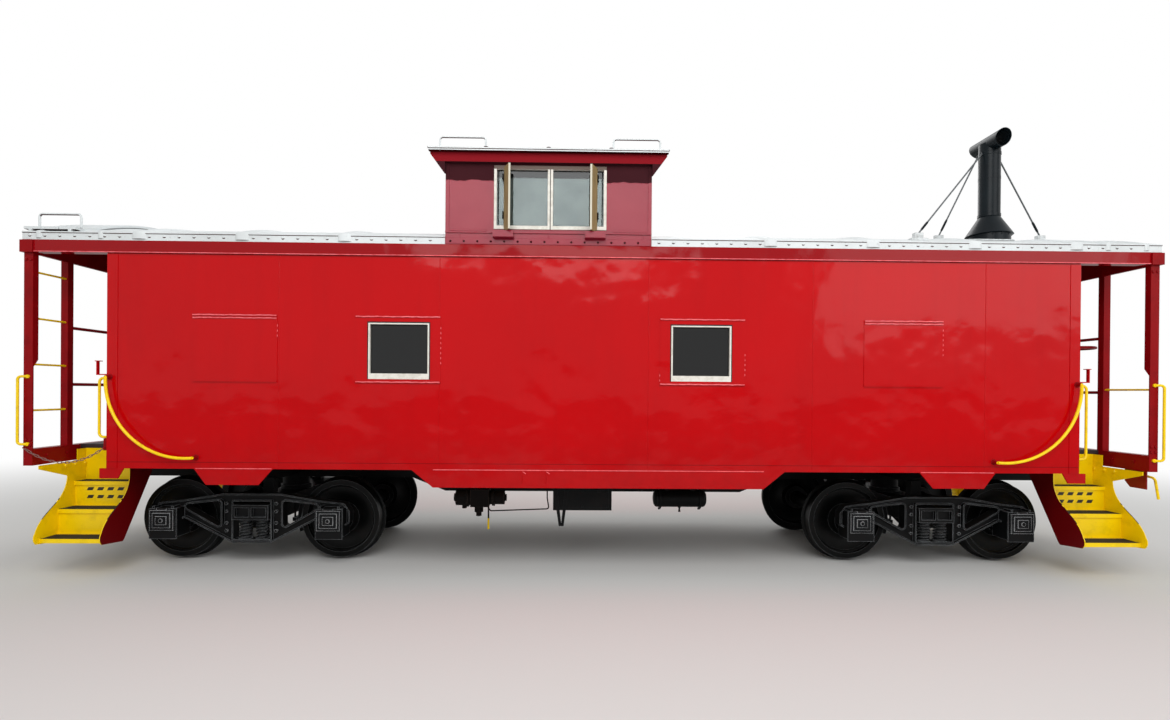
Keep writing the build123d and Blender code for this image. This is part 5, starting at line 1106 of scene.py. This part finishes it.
class CABOOSE_OT_smokejack(bpy.types.Operator):
    """Band the smokejack, flash its foot and tighten its stays"""
    bl_idname = "caboose.smokejack"
    bl_label = "Finish the smokejack"

    # each band: its foot and its radius
    BANDS = ((JACK_COLLAR - 0.018, 0.106), (3.706, 0.107), (4.10, 0.1035))
    BAND_CUT = 0.002
    BAND_HEIGHT = 0.032
    SEAM_BEAD = (0.012, 0.003)
    SEAM = (0.030, -0.0975)
    SEAM_HEIGHTS = (3.74, 4.35)
    SEAM_OUT = (0.294, -0.956, 0)
    RIVET_RING = (14, 0.196, 3.492)
    RIVET = (0.008, 0.005)
    TURNBUCKLE = ((0.008, 0), (0.011, 0.010), (0.012, 0.030), (0.012, 0.100), (0.011, 0.120), (0.008, 0.130))
    TURNBUCKLE_RISE = 0.19
    COLLAR_RADIUS = 0.108
    CLAMP = (0.010, 0.010, 0.014)
    ROD_FOOT = 0.060
    # each block of a stay's foot: its halves along and across, its depth, its rise and its cut corner
    FOOT_BLOCKS = ((0.042, 0.027, 0.006, 0.0695, 0.004), (0.085, 0.040, 0.012, 0.014, 0.003))
    FLASHING_RADIUS = 0.206
    FLASHING = (0.045, 0.016)

    def execute(self, context):
        x, y = JACK
        shapes = []
        for z, radius in self.BANDS:
            rim, cut, top = radius - self.BAND_CUT, self.BAND_CUT, self.BAND_HEIGHT
            band = [(rim, 0), (radius, cut), (radius, top - cut), (rim, top)]
            shapes.append(stamped(turned(band, 40), (x, y, z)))
        seam = [(x + self.SEAM[0], y + self.SEAM[1], z) for z in self.SEAM_HEIGHTS]
        shapes.append(bead(self.SEAM_BEAD, seam, up=self.SEAM_OUT))
        count, radius, z = self.RIVET_RING
        shapes.append(stamped(dome(*self.RIVET), *circle_of(count, radius, (x, y, z), 2)))
        feet = []
        for foot in STAY_FEET:
            ground = float(arch(foot[1], EAVE, ROOF_EDGE, ROOF_RISE))
            way = np.array([foot[0] - x, foot[1] - y, 0.0])
            way /= np.linalg.norm(way)
            start = np.array([x, y, JACK_COLLAR]) + self.COLLAR_RADIUS * way
            rod = np.array([*foot, ground + self.ROD_FOOT]) - start
            reach = float(np.linalg.norm(rod))
            rod /= reach
            shapes.append(stamped(turned(self.TURNBUCKLE, 14), start + rod * (reach - self.TURNBUCKLE_RISE), rod))
            shapes.append(block(start - self.CLAMP, start + self.CLAMP, 0.003))
            feet += [block((foot[0] - along, foot[1] - across, ground - depth),
                           (foot[0] + along, foot[1] + across, ground + rise), cut)
                     for along, across, depth, rise, cut in self.FOOT_BLOCKS]
        piece("smokejack_bands", shapes, "black_stove_enamel", "black_paint")
        ring = round_profile(self.FLASHING_RADIUS, 48) + (x, y)
        ring = np.column_stack([ring, arch(ring[:, 1], EAVE, ROOF_EDGE, ROOF_RISE)])
        feet.append(bead(self.FLASHING, ring, up=UP, closed=True))
        piece("smokejack_feet", feet, "white_enamel_on_iron", "roof_white")
        return {"FINISHED"}


class CABOOSE_OT_chain(bpy.types.Operator):
    """Hang the safety chain link by link across the near left step"""
    bl_idname = "caboose.chain"
    bl_label = "Hang the safety chain"

    END_INSETS = (0.009, 0.021)
    HOOK_HEIGHT = 1.252
    SAG = 0.138
    LINE = -1.5385
    END_RADIUS = 0.009
    WIRE = 0.0035
    LINK_LAP = 0.002
    EYE = ((0.015, 0), (0.015, 0.004), (0.008, 0.006), (0.008, 0.020))
    BAR_INSET = 0.012
    BAR_DEPTH = 0.040
    BAR_HEIGHTS = (1.230, 1.345)

    def execute(self, context):
        count = context.scene.caboose_sizes.chain_links
        low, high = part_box("safety_chain")
        left, right = low[0] + self.END_INSETS[0], high[0] - self.END_INSETS[1]
        # the middles follow a parabola between the two eyes
        share = (np.arange(count) + 0.5) / count
        middle = np.stack([left + (right - left) * share, np.full(count, self.LINE),
                           self.HOOK_HEIGHT - self.SAG * (1 - (2 * share - 1) ** 2)], axis=1)
        slope = np.arctan2(4 * self.SAG * (2 * share - 1), right - left)
        pitch = (right - left) / count / np.cos(slope)
        angle = np.linspace(0, 2 * np.pi, 12, endpoint=False)
        links = []
        for index in range(count):
            along = np.array([math.cos(slope[index]), 0, math.sin(slope[index])])
            across = np.array([-along[2], 0, along[0]]) if index % 2 else np.array([0.0, 1.0, 0.0])
            half = pitch[index] / 2 + self.LINK_LAP
            stretch = np.cos(angle) * self.END_RADIUS + np.sign(np.cos(angle)) * (half - self.END_RADIUS)
            ring = middle[index] + np.outer(stretch, along) + np.outer(np.sin(angle) * self.END_RADIUS, across)
            links.append(carried(round_profile(self.WIRE, 6), ring, side=np.cross(along, across), closed=True))
        chain = piece("safety_chain_links", links, "rusted_chain_steel", "chain_steel")
        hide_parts("safety_chain")
        foot, head = self.BAR_HEIGHTS
        bar = block((right - self.BAR_INSET, -WALL, foot), (-BODY_END, -WALL + self.BAR_DEPTH, head), 0.003)
        eyes = stamped(turned(self.EYE, 12), [(x, -WALL, self.HOOK_HEIGHT) for x in (left, right)], (0, -1, 0))
        piece("chain_eyes", [bar, eyes], "red_alkyd_enamel_brushed", "red_paint")
        return {"FINISHED"}


class CABOOSE_OT_steps(bpy.types.Operator):
    """Mark the upper risers with slanted checks and bolt the step units and end sills"""
    bl_idname = "caboose.steps"
    bl_label = "Finish the steps"

    CHECK_ROWS = (0.778, 0.698)
    CHECK_PITCH = 0.102
    CHECK = ((-0.038, 0), (0.020, 0), (0.038, 0.033), (-0.020, 0.033))
    RISER = (1.0948, 1.0935)
    HANGER = 0.305
    STEP_BOLT = (0.028, 0.014)
    STEP_BOLTS = (0.98, 1.10, 1.22)
    STEP_BOLT_HEIGHT = 1.046
    SILL_BOLT = (0.026, 0.010)
    SILL_BOLTS = (-1.36, -1.12, -0.84, -0.5, 0.5, 0.84, 1.12, 1.36)
    SILL_BOLT_HEIGHT = 1.165
    POST_BOLT_HEIGHTS = (1.275, 1.325, 3.045)
    POST_BOLT_OFFSET = 0.022

    def execute(self, context):
        checks, steps, ends = [], [], []
        for end in SIDES:
            for side in SIDES:
                for z in self.CHECK_ROWS:
                    for column in range(4):
                        x = end * STEP_MIDDLE + (column - 1.5) * self.CHECK_PITCH
                        corners = np.array(self.CHECK) + (x, z)
                        front, back = (np.insert(corners, 1, side * depth, axis=1) for depth in self.RISER)
                        rim = [[4 + k, 4 + (k + 1) % 4, (k + 1) % 4, k] for k in range(4)]
                        faces = [[0, 1, 2, 3], [7, 6, 5, 4], *rim]
                        if side > 0:
                            faces = [face[::-1] for face in faces]
                        checks.append((np.concatenate([front, back]), faces))
                steps += [((end * (STEP_MIDDLE + self.HANGER), side * y, self.STEP_BOLT_HEIGHT), (-end, 0, 0))
                          for y in self.STEP_BOLTS]
            for y in self.SILL_BOLTS:
                ends += [((end * x, y, self.SILL_BOLT_HEIGHT), (way * end, 0, 0))
                         for x, way in ((END_SILL_IN, -1), (CAR_END, 1))]
            for side in SIDES:
                ends += [((end * (CORNER_POST + way * self.POST_BOLT_OFFSET), side * WALL, z), (0, side, 0))
                         for z in self.POST_BOLT_HEIGHTS for way in SIDES]
        piece("riser_checks", checks, "black_enamel_stencilled", "black_paint", smooth=False)
        steps = stamped(hexagon(*self.STEP_BOLT), *zip(*steps))
        ends = stamped(hexagon(*self.SILL_BOLT), *zip(*ends))
        piece("step_bolts", [steps], "yellow_alkyd_enamel_brushed", "yellow_paint")
        piece("end_sill_bolts", [ends], "red_alkyd_enamel_brushed", "red_paint")
        return {"FINISHED"}


class CABOOSE_OT_grab_feet(bpy.types.Operator):
    """Bolt a red foot plate under each end of the curved grab irons"""
    bl_idname = "caboose.grab_feet"
    bl_label = "Add grab iron feet"

    # each foot: its place along the car, its height and how far it stands off the sheet
    FEET = ((4.670, 1.931, 0.005), (3.856, 1.169, 0))
    PLATE = ((0.028, 0), (0.028, 0.006), (0.025, 0.009))
    SLEEVE = ((0.0185, 0), (0.0185, 0.050), (0.0165, 0.056))
    NUT = (0.014, 0.007)

    def execute(self, context):
        shapes = []
        for end in SIDES:
            for side in SIDES:
                for x, z, proud in self.FEET:
                    place = np.array([(end * x, side * (WALL + proud), z)])
                    nuts = place + [(-0.019, side * 0.008, 0), (0.019, side * 0.008, 0)]
                    shapes += [stamped(turned(self.PLATE, 16), place, outward(place)),
                               stamped(turned(self.SLEEVE, 14), place, outward(place)),
                               stamped(hexagon(*self.NUT), nuts, outward(nuts))]
        piece("grab_iron_feet", shapes, "red_alkyd_enamel_brushed", "red_paint")
        return {"FINISHED"}


class CABOOSE_OT_stage(bpy.types.Operator):
    """Set the camera, the soft lamps, the pale floor and the white surroundings"""
    bl_idname = "caboose.stage"
    bl_label = "Set the stage"

    CAMERA_PLACE = (-0.291, -7.42, 1.826)
    CAMERA_TURN = (math.pi / 2 - 0.0032, -0.0078, -0.0163)
    FLOOR_HALF = 70
    FLOOR_ROWS = 15
    # each lamp: its name, its place, its width and its power
    LAMPS = (("key_lamp", (-0.8, -10, 8.3), 7, 620), ("fill_lamp", (8, -9, 6), 6, 260),
             ("back_lamp", (1, 9, 9), 8, 520))
    LAMP_AIM = (0, 0, 1.6)
    SOFT_LIGHT = 0.55

    def execute(self, context):
        scene = context.scene
        data = bpy.data.cameras.new("photo_camera")
        data.sensor_width = SENSOR
        data.lens = FOCAL_PIXELS * SENSOR / PHOTO_WIDTH
        data.shift_x = (PHOTO_WIDTH / 2 - PRINCIPAL_X) / PHOTO_WIDTH
        data.shift_y = (PRINCIPAL_Y - PHOTO_HEIGHT / 2) / PHOTO_WIDTH
        data.dof.use_dof = False
        camera = bpy.data.objects.new("photo_camera", data)
        camera.location = self.CAMERA_PLACE
        camera.rotation_mode = "XYZ"
        camera.rotation_euler = self.CAMERA_TURN
        scene.collection.objects.link(camera)
        scene.camera = camera

        stage_floor()
        rows = self.FLOOR_ROWS
        side = np.linspace(-self.FLOOR_HALF, self.FLOOR_HALF, rows)
        points = np.stack([*np.meshgrid(side, side), np.zeros((rows, rows))], axis=-1).reshape(-1, 3)
        corner = (np.arange(rows - 1)[:, None] * rows + np.arange(rows - 1)[None]).reshape(-1)
        faces = np.stack([corner, corner + 1, corner + rows + 1, corner + rows], axis=1).tolist()
        mesh = bpy.data.meshes.new("studio_floor")
        mesh.from_pydata(points.tolist(), [], faces)
        mesh.materials.append(bpy.data.materials["pale_studio_floor"])
        floor = bpy.data.objects.new("studio_floor", mesh)
        scene.collection.objects.link(floor)

        for name, spot, size, power in self.LAMPS:
            lamp = bpy.data.lights.new(name, "AREA")
            lamp.shape = "SQUARE"
            lamp.size = size
            lamp.energy = power
            holder = bpy.data.objects.new(name, lamp)
            holder.location = spot
            holder.rotation_euler = (Vector(self.LAMP_AIM) - Vector(spot)).to_track_quat("-Z", "Y").to_euler()
            scene.collection.objects.link(holder)

        # the camera, gloss and glass see white, and the light on the object is softer
        world = bpy.data.worlds.new("white_surroundings")
        world.use_nodes = True
        world.node_tree.nodes.clear()
        add = partial(add_node, world.node_tree)
        rays = add("LightPath").outputs
        shiny = add("Math", [rays["Is Camera Ray"], rays["Is Glossy Ray"]], operation="MAXIMUM")
        direct = add("Math", [shiny, rays["Is Transmission Ray"]], operation="MAXIMUM")
        strength = add("MapRange", {0: direct, 3: self.SOFT_LIGHT, 4: 1.0})
        add("OutputWorld", [add("Background", {"Color": (1, 1, 1), "Strength": strength})])
        scene.world = world
        scene.view_settings.view_transform = "Standard"
        return {"FINISHED"}


class CABOOSE_PT_panel(bpy.types.Panel):
    bl_label = "Caboose finish"
    bl_idname = "CABOOSE_PT_panel"
    bl_space_type = "VIEW_3D"
    bl_region_type = "UI"
    bl_category = "Caboose"

    def draw(self, context):
        for operator in OPERATORS:
            self.layout.operator(operator.bl_idname)
        for group in (context.scene.caboose_colours, context.scene.caboose_sizes):
            for name in group.bl_rna.properties.keys():
                if name not in ("rna_type", "name"):
                    self.layout.prop(group, name)


OPERATORS = (CABOOSE_OT_paint, CABOOSE_OT_roof, CABOOSE_OT_side_sheets, CABOOSE_OT_windows, CABOOSE_OT_doors,
             CABOOSE_OT_trucks, CABOOSE_OT_underbody, CABOOSE_OT_smokejack, CABOOSE_OT_chain, CABOOSE_OT_steps,
             CABOOSE_OT_grab_feet, CABOOSE_OT_stage)
CLASSES = (CabooseColours, CabooseSizes, *OPERATORS, CABOOSE_PT_panel)


def register():
    """Register the classes and hang the settings on the scene."""
    for kind in CLASSES:
        bpy.utils.register_class(kind)
    bpy.types.Scene.caboose_colours = PointerProperty(type=CabooseColours)
    bpy.types.Scene.caboose_sizes = PointerProperty(type=CabooseSizes)


def unregister():
    """Take the settings off the scene and unregister the classes."""
    del bpy.types.Scene.caboose_sizes
    del bpy.types.Scene.caboose_colours
    for kind in reversed(CLASSES):
        bpy.utils.unregister_class(kind)


def main():
    """Register the classes and run every step in order."""
    register()
    for operator in OPERATORS:
        group, name = operator.bl_idname.split(".")
        getattr(getattr(bpy.ops, group), name)()


if __name__ == "__main__":
    main()
